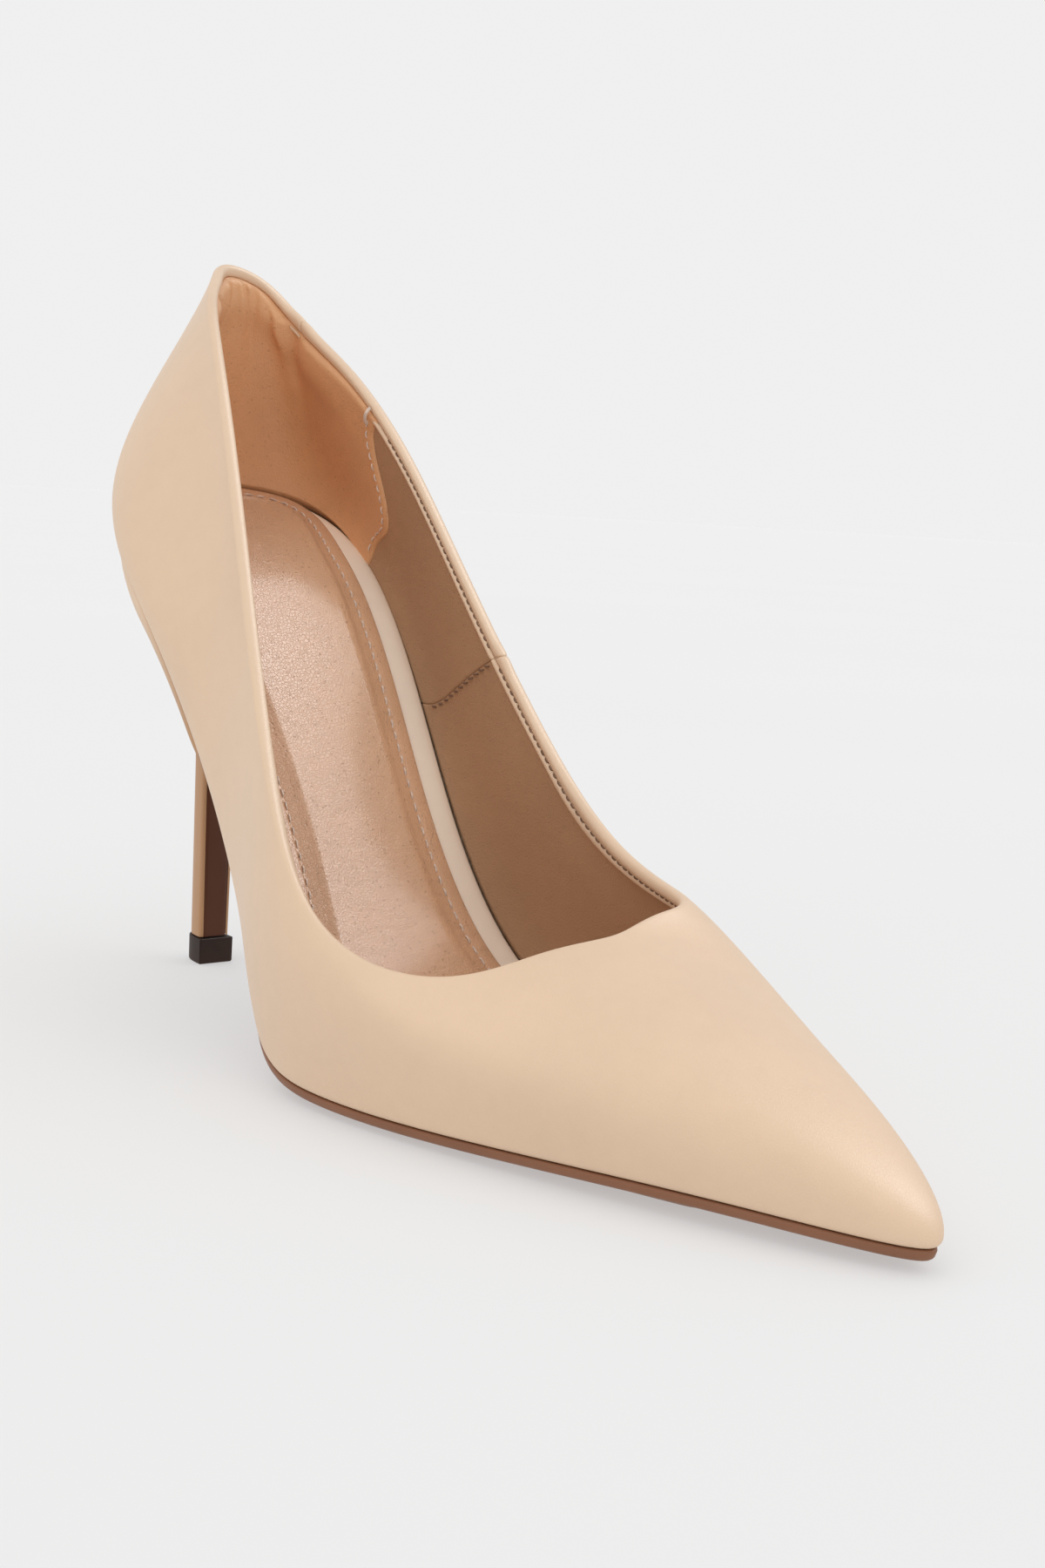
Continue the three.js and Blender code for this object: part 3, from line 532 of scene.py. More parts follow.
def set_surface(tree, shader, wear, rough, relief, depth, wear_range=(0.0, 1.0)):
    """Gives the shader a roughness between two values by an amount of wear, and bumps of a depth in
    millimetres."""
    polish = add_node(tree, "ShaderNodeMapRange", {
        "Value": wear, "From Min": wear_range[0], "From Max": wear_range[1], "To Min": rough[0], "To Max": rough[1],
    })
    tree.links.new(polish.outputs[0], shader.inputs["Roughness"])
    bump = add_node(tree, "ShaderNodeBump", {"Height": relief, "Distance": depth * MM})
    tree.links.new(bump.outputs[0], shader.inputs["Normal"])


def shade(colour, share):
    """The same colour, darker or lighter by a share."""
    return (*[min(1.0, c * share) for c in colour[:3]], 1.0)


def leather(name, colour, grain, depth, rough, uneven, pores=0.0, pore_size=1.4, crease=None, **sockets):
    """Finished leather: clouded dye, a cell grain pressed or grown at its size, fine fibre noise, and a
    polish that varies. Grain and pore sizes and the grain's depth are in millimetres."""
    material, tree, shader, place = new_material(name, **sockets)
    cloud = add_node(tree, "ShaderNodeTexNoise", {"Vector": place, "Scale": per_mm(34), "Detail": 4.0})
    mottle = add_node(tree, "ShaderNodeTexNoise", {"Vector": place, "Scale": per_mm(3.5), "Detail": 3.0})
    dye = add_node(tree, "ShaderNodeMath", {0: cloud.outputs[0], 1: 0.75}, operation="MULTIPLY")
    dye = add_node(tree, "ShaderNodeMath", {0: mottle.outputs[0], 1: 0.25, 2: dye.outputs[0]},
                   operation="MULTIPLY_ADD")
    cells = add_node(tree, "ShaderNodeTexVoronoi", {"Vector": place, "Scale": per_mm(grain)},
                     feature="DISTANCE_TO_EDGE")
    valley = add_node(tree, "ShaderNodeMapRange", {"Value": cells.outputs["Distance"], "From Max": 0.16},
                      interpolation_type="SMOOTHSTEP")
    fibre = add_node(tree, "ShaderNodeTexNoise", {"Vector": place, "Scale": per_mm(grain * 0.4), "Detail": 3.0})
    height = add_node(tree, "ShaderNodeMath", {0: fibre.outputs[0], 1: 0.5, 2: valley.outputs[0]},
                      operation="MULTIPLY_ADD")
    amount = dye.outputs[0]
    if pores:
        dots = add_node(tree, "ShaderNodeTexVoronoi", {"Vector": place, "Scale": per_mm(pore_size)})
        hole = add_node(tree, "ShaderNodeMapRange",
                        {"Value": dots.outputs["Distance"], "From Min": 0.1, "From Max": 0.24})
        height = add_node(tree, "ShaderNodeMath", {0: hole.outputs[0], 1: 1.6, 2: height.outputs[0]},
                          operation="MULTIPLY_ADD")
        filled = add_node(tree, "ShaderNodeMath", {0: hole.outputs[0], 1: 1.0}, operation="SUBTRACT")
        amount = add_node(tree, "ShaderNodeMath", {0: filled.outputs[0], 1: pores, 2: amount},
                          operation="MULTIPLY_ADD").outputs[0]
    relief = height.outputs[0]
    if crease:
        relief = crease(tree, place, relief)
    set_colour(tree, shader, amount, shade(colour, 1 - uneven * 1.6), shade(colour, 1 + uneven * 0.7))
    set_surface(tree, shader, cloud.outputs[0], (rough - 0.05, rough + 0.06), relief, depth, (0.3, 0.7))
    return material


def sock_creases(tree, place, relief):
    """Fine cross creases where the sock bends at the waist of the shoe, under its grain."""
    crease_size = (per_mm(9), per_mm(1.5), per_mm(3))
    stretched = add_node(tree, "ShaderNodeMapping", {"Vector": place, "Scale": crease_size})
    lines = add_node(tree, "ShaderNodeTexNoise", {"Vector": stretched.outputs[0], "Scale": 1.0, "Detail": 3.0,
                                                  "Distortion": 0.6})
    along = add_node(tree, "ShaderNodeSeparateXYZ", {"Vector": place}).outputs["Y"]
    front = add_node(tree, "ShaderNodeMapRange", {"Value": along, "From Min": -0.03, "From Max": -0.005})
    back = add_node(tree, "ShaderNodeMapRange", {"Value": along, "From Min": 0.045, "From Max": 0.02})
    where = add_node(tree, "ShaderNodeMath", {0: front.outputs[0], 1: back.outputs[0]}, operation="MULTIPLY")
    folds = add_node(tree, "ShaderNodeMath", {0: lines.outputs[0], 1: where.outputs[0]}, operation="MULTIPLY")
    return add_node(tree, "ShaderNodeMath", {0: folds.outputs[0], 1: 5.0, 2: relief},
                    operation="MULTIPLY_ADD").outputs[0]


def upper_nappa(colours):
    """Calf nappa, chrome tanned and drum dyed, with a thin polymer topcoat: an even satin with a soft edge
    to its highlights, and a grain that only shows as a faint break in the gloss."""
    return leather("nappa_drum_dyed", colours.nappa, grain=0.55, depth=0.014, rough=0.4, uneven=0.035, IOR=1.47)


def heel_nappa(colours):
    """The same nappa, stretched wet round the heel core and glued: its grain closes. Down the narrow stem its colour
    is mixed towards a darker tone, a painted shade."""
    material = leather("nappa_heel_painted_shade", colours.nappa, grain=0.5, depth=0.01, rough=0.42, uneven=0.04, IOR=1.45)
    tree = material.node_tree
    base = tree.nodes["Principled BSDF"].inputs["Base Color"]
    place = add_node(tree, "ShaderNodeSeparateXYZ", {"Vector": tree.nodes["Texture Coordinate"].outputs["Object"]})
    # Painted shade: the colour darkens from 85 mm down to 55 mm above the floor, down the stem.
    stem_shade_share = add_node(tree, "ShaderNodeMapRange", {"Value": place.outputs["Z"], "From Min": 0.085,
                                                   "From Max": 0.055})
    tone = add_node(tree, "ShaderNodeMix", {0: stem_shade_share.outputs[0], 6: base.links[0].from_socket, 7: colours.heel},
                    data_type="RGBA")
    tree.links.new(tone.outputs[2], base)
    return material


def wrap_nappa(colours):
    """The upper's nappa, split thinner and glued flat round the insole's edge, so it looks smoother. Its colour is set
    much lighter than the upper's, a painted light for light falling into the shoe.
    """
    return leather("nappa_split_thin", colours.wrap, grain=0.6, depth=0.01, rough=0.45, uneven=0.04, IOR=1.47)


def quarter_lining(colours):
    """Microfibre lining, printed with a fine hair cell and left matt, so it reads as a dry, even tan."""
    return leather("microfibre_printed", colours.lining, grain=0.8, depth=0.03, rough=0.62, uneven=0.06,
                   pores=0.25, pore_size=1.1, IOR=1.45)


def heel_grip_lining(colours):
    """Pigskin split, buffed over foam, with follicle pores in loose groups and a warm, dry surface."""
    return leather("pigskin_buffed", colours.heel_lining, grain=0.9, depth=0.03, rough=0.5, uneven=0.07,
                   pores=0.3, pore_size=1.6, IOR=1.45, **{"Sheen Weight": 0.08, "Sheen Roughness": 0.5})


def sock_leather(colours):
    """Coated leather sock, plated smooth: a glossy resin coat that mirrors the light in broad soft patches,
    broken by fine pores and by cross creases at the waist."""
    return leather("coated_leather_plated", colours.sock, grain=0.7, depth=0.06, rough=0.36, uneven=0.08,
                   pores=0.25, pore_size=1.3, crease=sock_creases, IOR=1.45,
                   **{"Coat Weight": 0.3, "Coat Roughness": 0.14})


def sole_resin(name, colour):
    """Moulded resin sole with a leather print, its edge trimmed and painted: a dull brown sheen with fine
    scuffs along the walking direction."""
    material, tree, shader, place = new_material(name, **{"Specular IOR Level": 0.3})
    cloud = add_node(tree, "ShaderNodeTexNoise", {"Vector": place, "Scale": per_mm(18), "Detail": 5.0})
    set_colour(tree, shader, cloud.outputs[0], shade(colour, 0.88), shade(colour, 1.08))
    scuff_size = (per_mm(0.6), per_mm(7), per_mm(0.6))
    along = add_node(tree, "ShaderNodeMapping", {"Vector": place, "Scale": scuff_size})
    scuff = add_node(tree, "ShaderNodeTexNoise", {"Vector": along.outputs[0], "Scale": 1.0, "Detail": 2.0})
    set_surface(tree, shader, scuff.outputs[0], (0.38, 0.52), scuff.outputs[0], 0.02, (0.35, 0.7))
    return material


def lift_polyurethane(colours):
    """Thermoplastic polyurethane, injection moulded: near black brown, with a fine spark-eroded texture and
    a few lighter scuffs towards the floor."""
    material, tree, shader, place = new_material("polyurethane_injection_moulded", **{"Specular IOR Level": 0.3})
    cloud = add_node(tree, "ShaderNodeTexNoise", {"Vector": place, "Scale": per_mm(4), "Detail": 5.0})
    level = add_node(tree, "ShaderNodeSeparateXYZ", {"Vector": place})
    low = add_node(tree, "ShaderNodeMapRange", {"Value": level.outputs["Z"], "From Min": 0.003, "From Max": 0.0,
                                                "To Max": 0.35})
    worn = add_node(tree, "ShaderNodeMath", {0: cloud.outputs[0], 1: low.outputs[0]}, operation="ADD")
    set_colour(tree, shader, worn.outputs[0], shade(colours.lift, 0.85), shade(colours.lift, 1.7), 0.4, 1.0)
    grit = add_node(tree, "ShaderNodeTexNoise", {"Vector": place, "Scale": per_mm(0.25), "Detail": 2.0})
    set_surface(tree, shader, cloud.outputs[0], (0.42, 0.62), grit.outputs[0], 0.02)
    return material


def sewing_thread(name, colour, rough):
    """Bonded polyester thread, twisted: light catches its plies, which are drawn twice as coarse as real
    ones so that they show."""
    material, tree, shader, place = new_material(name, IOR=1.55, **{"Sheen Weight": 0.2})
    plies = add_node(tree, "ShaderNodeTexWave", {"Vector": place, "Scale": per_mm(3.2), "Distortion": 1.0},
                     bands_direction="DIAGONAL")
    set_colour(tree, shader, plies.outputs["Fac"], shade(colour, 0.86), shade(colour, 1.06), 0.2, 0.8)
    set_surface(tree, shader, plies.outputs["Fac"], (rough - 0.06, rough + 0.06), plies.outputs["Fac"], 0.03)
    return material


def hidden_material(name, dark, light, size, rough, depth, metallic=0.0, stretch=(1, 1, 1)):
    """Plain stock material for the pieces inside the shoe, with its own flecks at its own size."""
    material, tree, shader, place = new_material(name, Metallic=metallic)
    scale = tuple(per_mm(size) * share for share in stretch)
    laid = add_node(tree, "ShaderNodeMapping", {"Vector": place, "Scale": scale})
    fleck = add_node(tree, "ShaderNodeTexNoise", {"Vector": laid.outputs[0], "Scale": 1.0, "Detail": 4.0})
    set_colour(tree, shader, fleck.outputs[0], linear(dark), linear(light))
    set_surface(tree, shader, fleck.outputs[0], (rough - 0.08, min(1.0, rough + 0.08)), fleck.outputs[0], depth)
    return material


def material_of(name, make, *values):
    """The material of that name, made the first time it is asked for."""
    return bpy.data.materials.get(name) or make(*values)


def dark_thread_of(colours):
    """Thread of the topline and the side seams: brown and nearly matt, so it sinks into the leather."""
    name = "thread_polyester_dark"
    return material_of(name, sewing_thread, name, colours.dark_thread, 0.6)


def pale_thread_of(colours):
    """Thread of the sock and the heel lining: pale and smoother, so that each stitch glints."""
    name = "thread_polyester_pale"
    return material_of(name, sewing_thread, name, colours.pale_thread, 0.4)


# ---- What a user can change ----


def length_property(name, description, default):
    """Length setting; its default is given in millimetres."""
    return FloatProperty(name=name, description=description, default=default * MM, min=0, subtype="DISTANCE",
                         unit="LENGTH", precision=5)


def colour_property(name, description, default):
    """Colour setting with an sRGB hex default."""
    return FloatVectorProperty(name=name, description=description, default=linear(default), size=4, min=0, max=1,
                               subtype="COLOR")


class PumpSizes(bpy.types.PropertyGroup):
    """Sizes of the leather edges and the stitching."""

    fold_width: length_property("Fold width", "Thickness of the folded topline edge", 2.5)
    fold_drop: length_property("Fold drop", "How far the topline edge is folded down inside", 2.6)
    piping_width: length_property("Piping width", "Height of the thin roll under the folded edge", 1.6)
    topline_pitch: length_property("Topline stitch", "Length of one stitch along the topline", 1.9)
    seam_pitch: length_property("Seam stitch", "Length of one stitch in the lining's side seams", 2.2)
    sock_pitch: length_property("Sock stitch", "Length of one stitch along the sock's edge", 2.8)
    sock_margin: length_property("Sock stitch margin", "Distance of the stitches from the sock's edge", 3.6)
    thread_width: length_property("Thread width", "Diameter of the sewing thread", 0.42)
    grip_puff: length_property("Heel grip puff", "How far the heel lining swells below the topline", 1.3)
    edge_round: length_property("Seam rounding", "Radius of the leather edge at a seam", 0.45)
    lift_bevel: length_property("Top lift bevel", "Rounded edge of the top lift", 0.5)


class PumpColours(bpy.types.PropertyGroup):
    """Colours of the leathers, threads and sole."""

    nappa: colour_property("Upper", "Nappa of the upper and the heel cover", "#E5C7A9")
    # Painted light: much lighter than the upper's nappa, for light falling into the shoe.
    wrap: colour_property("Insole wrap", "Nappa strip round the sock", "#FFEDD9")
    lining: colour_property("Quarter lining", "Lining of the vamp and the quarters", "#B8906E")
    heel_lining: colour_property("Heel lining", "Padded lining at the back", "#E0A878")
    sock: colour_property("Sock", "Leather under the foot", "#DCAC86")
    # Painted shade: darker tone mixed into the heel cover down the stem.
    heel: colour_property("Heel stem", "Nappa where it is stretched over the stem", "#B98C64")
    sole: colour_property("Sole", "Outsole and its trimmed edge", "#8C5F45")
    # The breast cover's brown, partly its own colour and partly painted shade: darker than the sole's.
    breast: colour_property("Heel breast", "Flat front of the heel", "#5A3018")
    lift: colour_property("Top lift", "Walking end of the heel", "#2A160A")
    pale_thread: colour_property("Pale thread", "Stitches of the sock and the heel lining", "#E3CDBC")
    dark_thread: colour_property("Dark thread", "Stitches of the topline and the side seams", "#7A563C")


class PumpStage(bpy.types.PropertyGroup):
    """Light of the studio."""

    sky: FloatProperty(name="Sky", description="Brightness of the light from all round", default=0.868, min=0)
    key: FloatProperty(name="Key light", description="Strength of the main soft light", default=0.5, min=0)
    gloss: FloatProperty(name="Gloss light", description="Strength of the light that only glints", default=1.9, min=0)
    floor: colour_property("Floor", "Colour of the floor", "#ECECEC")
    glow: FloatProperty(name="Floor glow", description="Share of the floor's light that comes through it", default=0.5,
                        min=0, max=0.95)


# ---- Upper ----

WALL_DENSITY = 26  # columns for one key
WALL_ROWS = 56
LASTING_INSETS = (5.0, 3.4, 2.2)  # the upper is turned in under the insole board
FOOT_ROUND = 1.5
SEAM_SWELL = 0.55
SWELL_REACH = (0.6, 3.4)  # distances from a seam over which its swelling goes down
# Inside of the folded edge: depth in bead radii, and drop as a share of the fold's.
FOLD_INSIDE = ((2.02, 0.62), (1.98, 0.78), (1.84, 0.9), (1.6, 0.97), (1.2, 1.0), (0.9, 0.96))


def seam_swell(turns):
    """How much the fold thickens at the medial seams, where one piece is turned in over the other."""
    speed = ring_speed(turns)
    beside = [np.abs(turns - seam) * speed for seam in (SIDE_SEAM, REAR_SEAM, REAR_SEAM - KEYS)]
    return SEAM_SWELL * (1 - smooth(np.min(beside, axis=0), *SWELL_REACH))


def upper_section(turns, sizes):
    """Rows of the upper from under the insole, up the wall and over the folded edge."""
    dip = rounded(seam_distance(turns), sizes.edge_round / MM)
    swell = seam_swell(turns)
    radius = sizes.fold_width / MM / 2
    low, high = above_feather(turns, FOOT_ROUND), below_topline(turns, radius)
    foot_in, corner, foot_up = on_seat(turns, FOOT_ROUND, 0.0), layer(turns, 0.0, dip), layer(turns, low, dip)
    rows = [on_seat(turns, inset, 0.0) for inset in LASTING_INSETS]
    for share in np.linspace(0, 1, 6):
        rows.append(foot_in * (1 - share) ** 2 + corner * 2 * share * (1 - share) + foot_up * share**2)
    for share in np.linspace(0, 1, WALL_ROWS)[1:]:
        rows.append(layer(turns, low + (high - low) * share, dip))
    for angle in np.linspace(0, math.pi, 13)[1:]:
        depth = radius * (1 - math.cos(angle)) + dip * math.cos(angle)
        drop = radius * (1 - math.sin(angle)) + (dip - swell) * math.sin(angle)
        rows.append(layer(turns, below_topline(turns, drop), depth))
    for depth, drop in FOLD_INSIDE:
        rows.append(layer(turns, below_topline(turns, sizes.fold_drop / MM * drop), radius * depth - dip))
    return np.stack(rows)


class PUMP_OT_upper(bpy.types.Operator):
    """Make the vamp and the medial quarter with their folded topline edge"""

    bl_idname = "pump.upper"
    bl_label = "Upper"

    def execute(self, context):
        sizes, colours = context.scene.pump_sizes, context.scene.pump_colours
        nappa = material_of("nappa_drum_dyed", upper_nappa, colours)
        for name, start, end, node in (
            ("vamp_leather", REAR_SEAM - KEYS, SIDE_SEAM, "vamp"),
            ("medial_quarter_leather", SIDE_SEAM, REAR_SEAM, "medial_quarter"),
        ):
            piece = grid_piece(name, upper_section(columns(start, end, WALL_DENSITY), sizes), nappa, 1)
            place_piece(piece, "upper_leather", node)
        return {"FINISHED"}


PIPING_DENSITY = 24
PIPING_SIDES = 16
PIPING_TUCK = 0.3
PIPING_ROUND = 0.35
TOPLINE_THREAD = 0.28
TOPLINE_COVER = 0.7  # share of a stitch's length that shows
STITCH_START = 0.05  # keys between a seam and the first stitch


class PUMP_OT_topline(bpy.types.Operator):
    """Make the thin roll under the folded edge, and the stitches in the groove between them"""

    bl_idname = "pump.topline"
    bl_label = "Topline"

    def execute(self, context):
        sizes, colours = context.scene.pump_sizes, context.scene.pump_colours
        nappa = material_of("nappa_drum_dyed", upper_nappa, colours)
        thread = dark_thread_of(colours)
        radius = sizes.piping_width / MM / 2
        depth, drop = sizes.fold_width / MM - PIPING_TUCK, sizes.fold_drop / MM + radius
        for name, start, end, nodes in (
            ("piping_vamp", REAR_SEAM - KEYS, SIDE_SEAM, ["topline_binding"]),
            ("piping_quarter", SIDE_SEAM, REAR_SEAM, []),
        ):
            turns = columns(start, end, PIPING_DENSITY)
            size = radius - rounded(seam_distance(turns), PIPING_ROUND)
            rows = [
                layer(turns, below_topline(turns, drop - size * math.sin(angle)), depth + size * math.cos(angle))
                for angle in np.linspace(0, 2 * math.pi, PIPING_SIDES, endpoint=False)
            ]
            place_piece(grid_piece(name, np.stack(rows), nappa, -1, close_rows=True), "upper_leather", *nodes)
        for name, start, end in (
            ("topline_stitches_vamp", GRIP_LATERAL - KEYS, SIDE_SEAM - STITCH_START),
            ("topline_stitches_quarter", SIDE_SEAM + STITCH_START, GRIP_MEDIAL),
        ):
            turns = np.linspace(start, end, int((end - start) * 40))
            place = below_topline(turns, sizes.fold_drop / MM)
            path, normals = layer(turns, place, depth + radius * 0.3), -wall_normal(turns, place)
            pitch = sizes.topline_pitch / MM
            row = stitch_row(name, path, normals, pitch, TOPLINE_COVER, TOPLINE_THREAD, thread)
            place_piece(row, "upper_leather")
        return {"FINISHED"}


# ---- Linings ----

LINING_DENSITY = 24
LINING_ROWS = 44
LINING_DEPTH = 3.3
LINING_TOP_DEPTH = 2.45
LINING_EASE = 16.0  # distance below the topline where the lining reaches its full depth
LINING_TOP_DROP = 3.6
LINING_ROUND = 0.35
LINING_LAP = 0.12  # the vamp lining laps over the quarters'
TIP_RISE = 0.25
SEAM_START = 0.18
SEAM_END_DROP = 5.0
SEAM_STITCH_SIDE = 0.45
SEAM_STITCH_RISE = 0.16
SEAM_THREAD = 0.5
SEAM_COVER = 0.66
SEAM_SLANT = 0.35


def lining_low(turns):
    """Lower edge of the linings, higher up round the sharp toe tip."""
    tip = 1 - smooth(np.abs(np.mod(turns, KEYS) - TOE_KEY), 0.1, 1.3)
    return above_feather(turns, BOARD_TOP) + TIP_RISE * tip


def lining_depth(drop):
    """Depth of the lining's face under the outer face, thinner at the topline."""
    return LINING_TOP_DEPTH + (LINING_DEPTH - LINING_TOP_DEPTH) * smooth(drop, 0, LINING_EASE)


def lining_section(turns, raised):
    """Rows of a lining piece, from behind the thin roll down to the insole."""
    low, high = lining_low(turns), below_topline(turns, LINING_TOP_DROP)
    dip = rounded(seam_distance(turns), LINING_ROUND)
    length = np.linalg.norm(wall(turns, high) - wall(turns, low), axis=-1)
    rows = [layer(turns, high, LINING_TOP_DEPTH - 0.5)]
    for share in np.linspace(0, 1, LINING_ROWS) ** 1.3:
        rows.append(layer(turns, high + (low - high) * share, lining_depth(share * length) + raised - dip))
    rows.append(layer(turns, low, LINING_DEPTH - 1.0))
    return np.stack(rows)


class PUMP_OT_linings(bpy.types.Operator):
    """Make the vamp and quarter linings, with the sewn seams that lean forward at each side"""

    bl_idname = "pump.linings"
    bl_label = "Linings"

    def execute(self, context):
        sizes, colours = context.scene.pump_sizes, context.scene.pump_colours
        fabric = material_of("microfibre_printed", quarter_lining, colours)
        thread = dark_thread_of(colours)
        for name, start, end, raised, node in (
            ("vamp_lining_cloth", LATERAL_SEAM, SIDE_SEAM, LINING_LAP, "vamp_lining"),
            ("medial_lining_cloth", SIDE_SEAM, REAR_SEAM, 0.0, "medial_quarter_lining"),
            ("lateral_lining_cloth", REAR_SEAM - KEYS, LATERAL_SEAM, 0.0, "lateral_quarter_lining"),
        ):
            section = lining_section(columns(start, end, LINING_DENSITY), raised)
            place_piece(grid_piece(name, section, fabric, -1), "quarter_lining", node)
        for name, seam, side in (
            ("side_seam_stitches_medial", SIDE_SEAM, -1),
            ("side_seam_stitches_lateral", LATERAL_SEAM, 1),
        ):
            t = np.linspace(SEAM_START, float(below_topline(np.array(seam), SEAM_END_DROP)), 120)
            turns = seam + side * SEAM_STITCH_SIDE / ring_speed(np.full_like(t, seam))
            drop = np.linalg.norm(wall(turns, t) - wall(turns, 1.0), axis=-1)
            path = layer(turns, t, lining_depth(drop) + SEAM_STITCH_RISE)
            normals, pitch = -wall_normal(turns, t), sizes.seam_pitch / MM
            row = stitch_row(name, path, normals, pitch, SEAM_COVER, SEAM_THREAD, thread, slant=SEAM_SLANT)
            place_piece(row, "quarter_lining")
        return {"FINISHED"}


GRIP_RISE = 0.85
GRIP_MEDIAL = 13.96
GRIP_LATERAL = 18.04
GRIP_TOP_DROP = 2.5
GRIP_LOW, GRIP_HIGH = 0.07, 0.93  # heights of its front edges on the wall
GRIP_ROUND = 1.0
GRIP_TOP_ROUND = 1.4
RIDGE_DROP = 4.6
GRIP_KEY = 22.0  # one key's length round the heel
GRIP_THREAD = 0.38
GRIP_STITCH_INSET = 0.7
PALE_COVER = 0.72
TAIL_THREAD = 0.8
THREAD_END = ((-1.2, 0), (0, 0.7), (1.6, 0.6), (2.6, -0.3))  # along the row, and out from the leather
GRIP_EDGE = np.array([0, 0.01, 0.03, 0.06, 0.1, 0.16, 0.24, 0.35, 0.5, 0.7, 1.0, 1.4, 2.0]) / 100
# Folds of the heel lining: distance round from the back, lean, half width, depth, and how far down they run.
GRIP_FOLDS = (
    (-31, 0.12, 1.9, 1.7, 13),
    (-8.5, -0.2, 1.8, 1.0, 10),
    (-14.5, 0.25, 2.2, 0.8, 12),
    (5, 0.1, 2.0, 0.7, 10),
    (24, -0.1, 1.9, 1.2, 12),
)


def grip_edges(t):
    """Front edges of the heel lining, in keys: an S that bulges forward at mid height."""
    bulge = 0.1 * np.exp(-(((t - 0.5) / 0.17) ** 2)) - 0.06 * smooth(t, 0.6, 0.85) + 0.04 * smooth(t, 0.9, 1)
    return GRIP_MEDIAL - bulge, GRIP_LATERAL + bulge


def grip_folds(across, drop):
    """Folds that fade downwards: each is a crease with a fuller roll of leather beside it."""
    folds = np.zeros_like(across)
    for place, lean, half_width, deep, run in GRIP_FOLDS:
        line = across - place - lean * drop
        crease = np.exp(-((line / half_width) ** 2))
        roll = np.exp(-(((line - 2.2 * half_width) / (1.5 * half_width)) ** 2))
        folds += np.exp(-((drop / run) ** 2)) * deep * (0.45 * roll - crease)
    return folds


class PUMP_OT_heel_lining(bpy.types.Operator):
    """Make the padded heel lining, its folds and the stitches along its front edges"""

    bl_idname = "pump.heel_lining"
    bl_label = "Heel lining"

    def execute(self, context):
        sizes, colours = context.scene.pump_sizes, context.scene.pump_colours
        pigskin = material_of("pigskin_buffed", heel_grip_lining, colours)
        thread = pale_thread_of(colours)
        shares = np.concatenate([GRIP_EDGE, np.linspace(0.03, 0.97, 150), 1 - GRIP_EDGE[::-1]])
        share, level = np.meshgrid(shares, np.linspace(0, 1, 90))
        start, end = grip_edges(GRIP_LOW + (GRIP_HIGH - GRIP_LOW) * (1 - level))
        turns = start + (end - start) * share
        low, high = above_feather(turns, BOARD_TOP + 0.4), below_topline(turns, GRIP_TOP_DROP)
        t = high + (low - high) * level
        drop = level * np.linalg.norm(wall(turns, high) - wall(turns, low), axis=-1)
        speed = ring_speed(turns)
        from_front = np.minimum(turns - start, end - turns) * speed
        round_front, round_top = round_share(from_front, GRIP_ROUND), round_share(drop, GRIP_TOP_ROUND)

        # The foam swells most in a ridge under the topline, and a little at mid height.
        ridge = np.exp(-(((drop - RIDGE_DROP) / RIDGE_DROP) ** 2)) * smooth(from_front, 0.5, 9)
        swell = sizes.grip_puff / MM * ridge + 0.5 * np.sin(math.pi * level) * smooth(from_front, 1, 14)
        swell += grip_folds((turns - KEYS) * GRIP_KEY, drop)
        rise = GRIP_RISE * round_front * (0.35 + 0.65 * round_top)
        grid = layer(turns, t, lining_depth(drop) + rise + swell * round_top * round_front)
        top_row = layer(turns[0], high[0], LINING_TOP_DEPTH - 0.6)
        low_row = layer(turns[-1], low[-1] * 0.8, LINING_DEPTH - 1.0)
        piece = grid_piece("heel_lining_padded", np.concatenate([top_row[None], grid, low_row[None]]), pigskin, -1)
        place_piece(piece, "heel_lining", "heel_lining")

        sewn = slice(3, -10)
        pitch = sizes.sock_pitch / MM * 0.85
        for name, side, way in (("heel_lining_stitches_medial", 0, 1), ("heel_lining_stitches_lateral", -1, -1)):
            edge = turns[:, side] + way * GRIP_STITCH_INSET / speed[:, side]
            path = layer(edge, t[:, side], lining_depth(drop[:, side]) + GRIP_RISE)[sewn]
            normals = -wall_normal(edge, t[:, side])[sewn]
            row = stitch_row(name, path, normals, pitch, PALE_COVER, GRIP_THREAD, thread)
            place_piece(row, "heel_lining")
            if side == 0:
                ahead, up = unit(path[0] - path[6]), normals[0]
                knot = [path[0] + ahead * run + up * lift for run, lift in THREAD_END]
                place_piece(thread_tail("heel_lining_thread_end", knot, TAIL_THREAD, thread), "heel_lining")
        return {"FINISHED"}


# ---- Bottom ----

# Section of the insole wrap, all the way round it: inset from the feather line, and lift above the profile.
WRAP_SECTION = (
    (7.0, 3.4), (2.4, 3.4), (2.0, 3.6), (2.2, 3.95), (2.7, 4.2), (3.3, 4.42), (4.1, 4.56), (5.2, 4.6),
    (7.0, 4.57), (11.0, 4.5), (13.0, 4.5), (13.2, 3.9),
)
SOCK_SWELL = 0.12
SOCK_FOAM_RISE = 0.5
SOCK_FOAM = (45, 85)  # where the foam under the heel begins, and where it is full
GROOVE_DEPTH = 0.2
DISH_START, DISH_END = 1.8, 4.0  # distances from the groove
SOCK_STITCHES = 6.7  # keys from the back of the heel to the ends of the row
SOCK_SLANT = 0.06


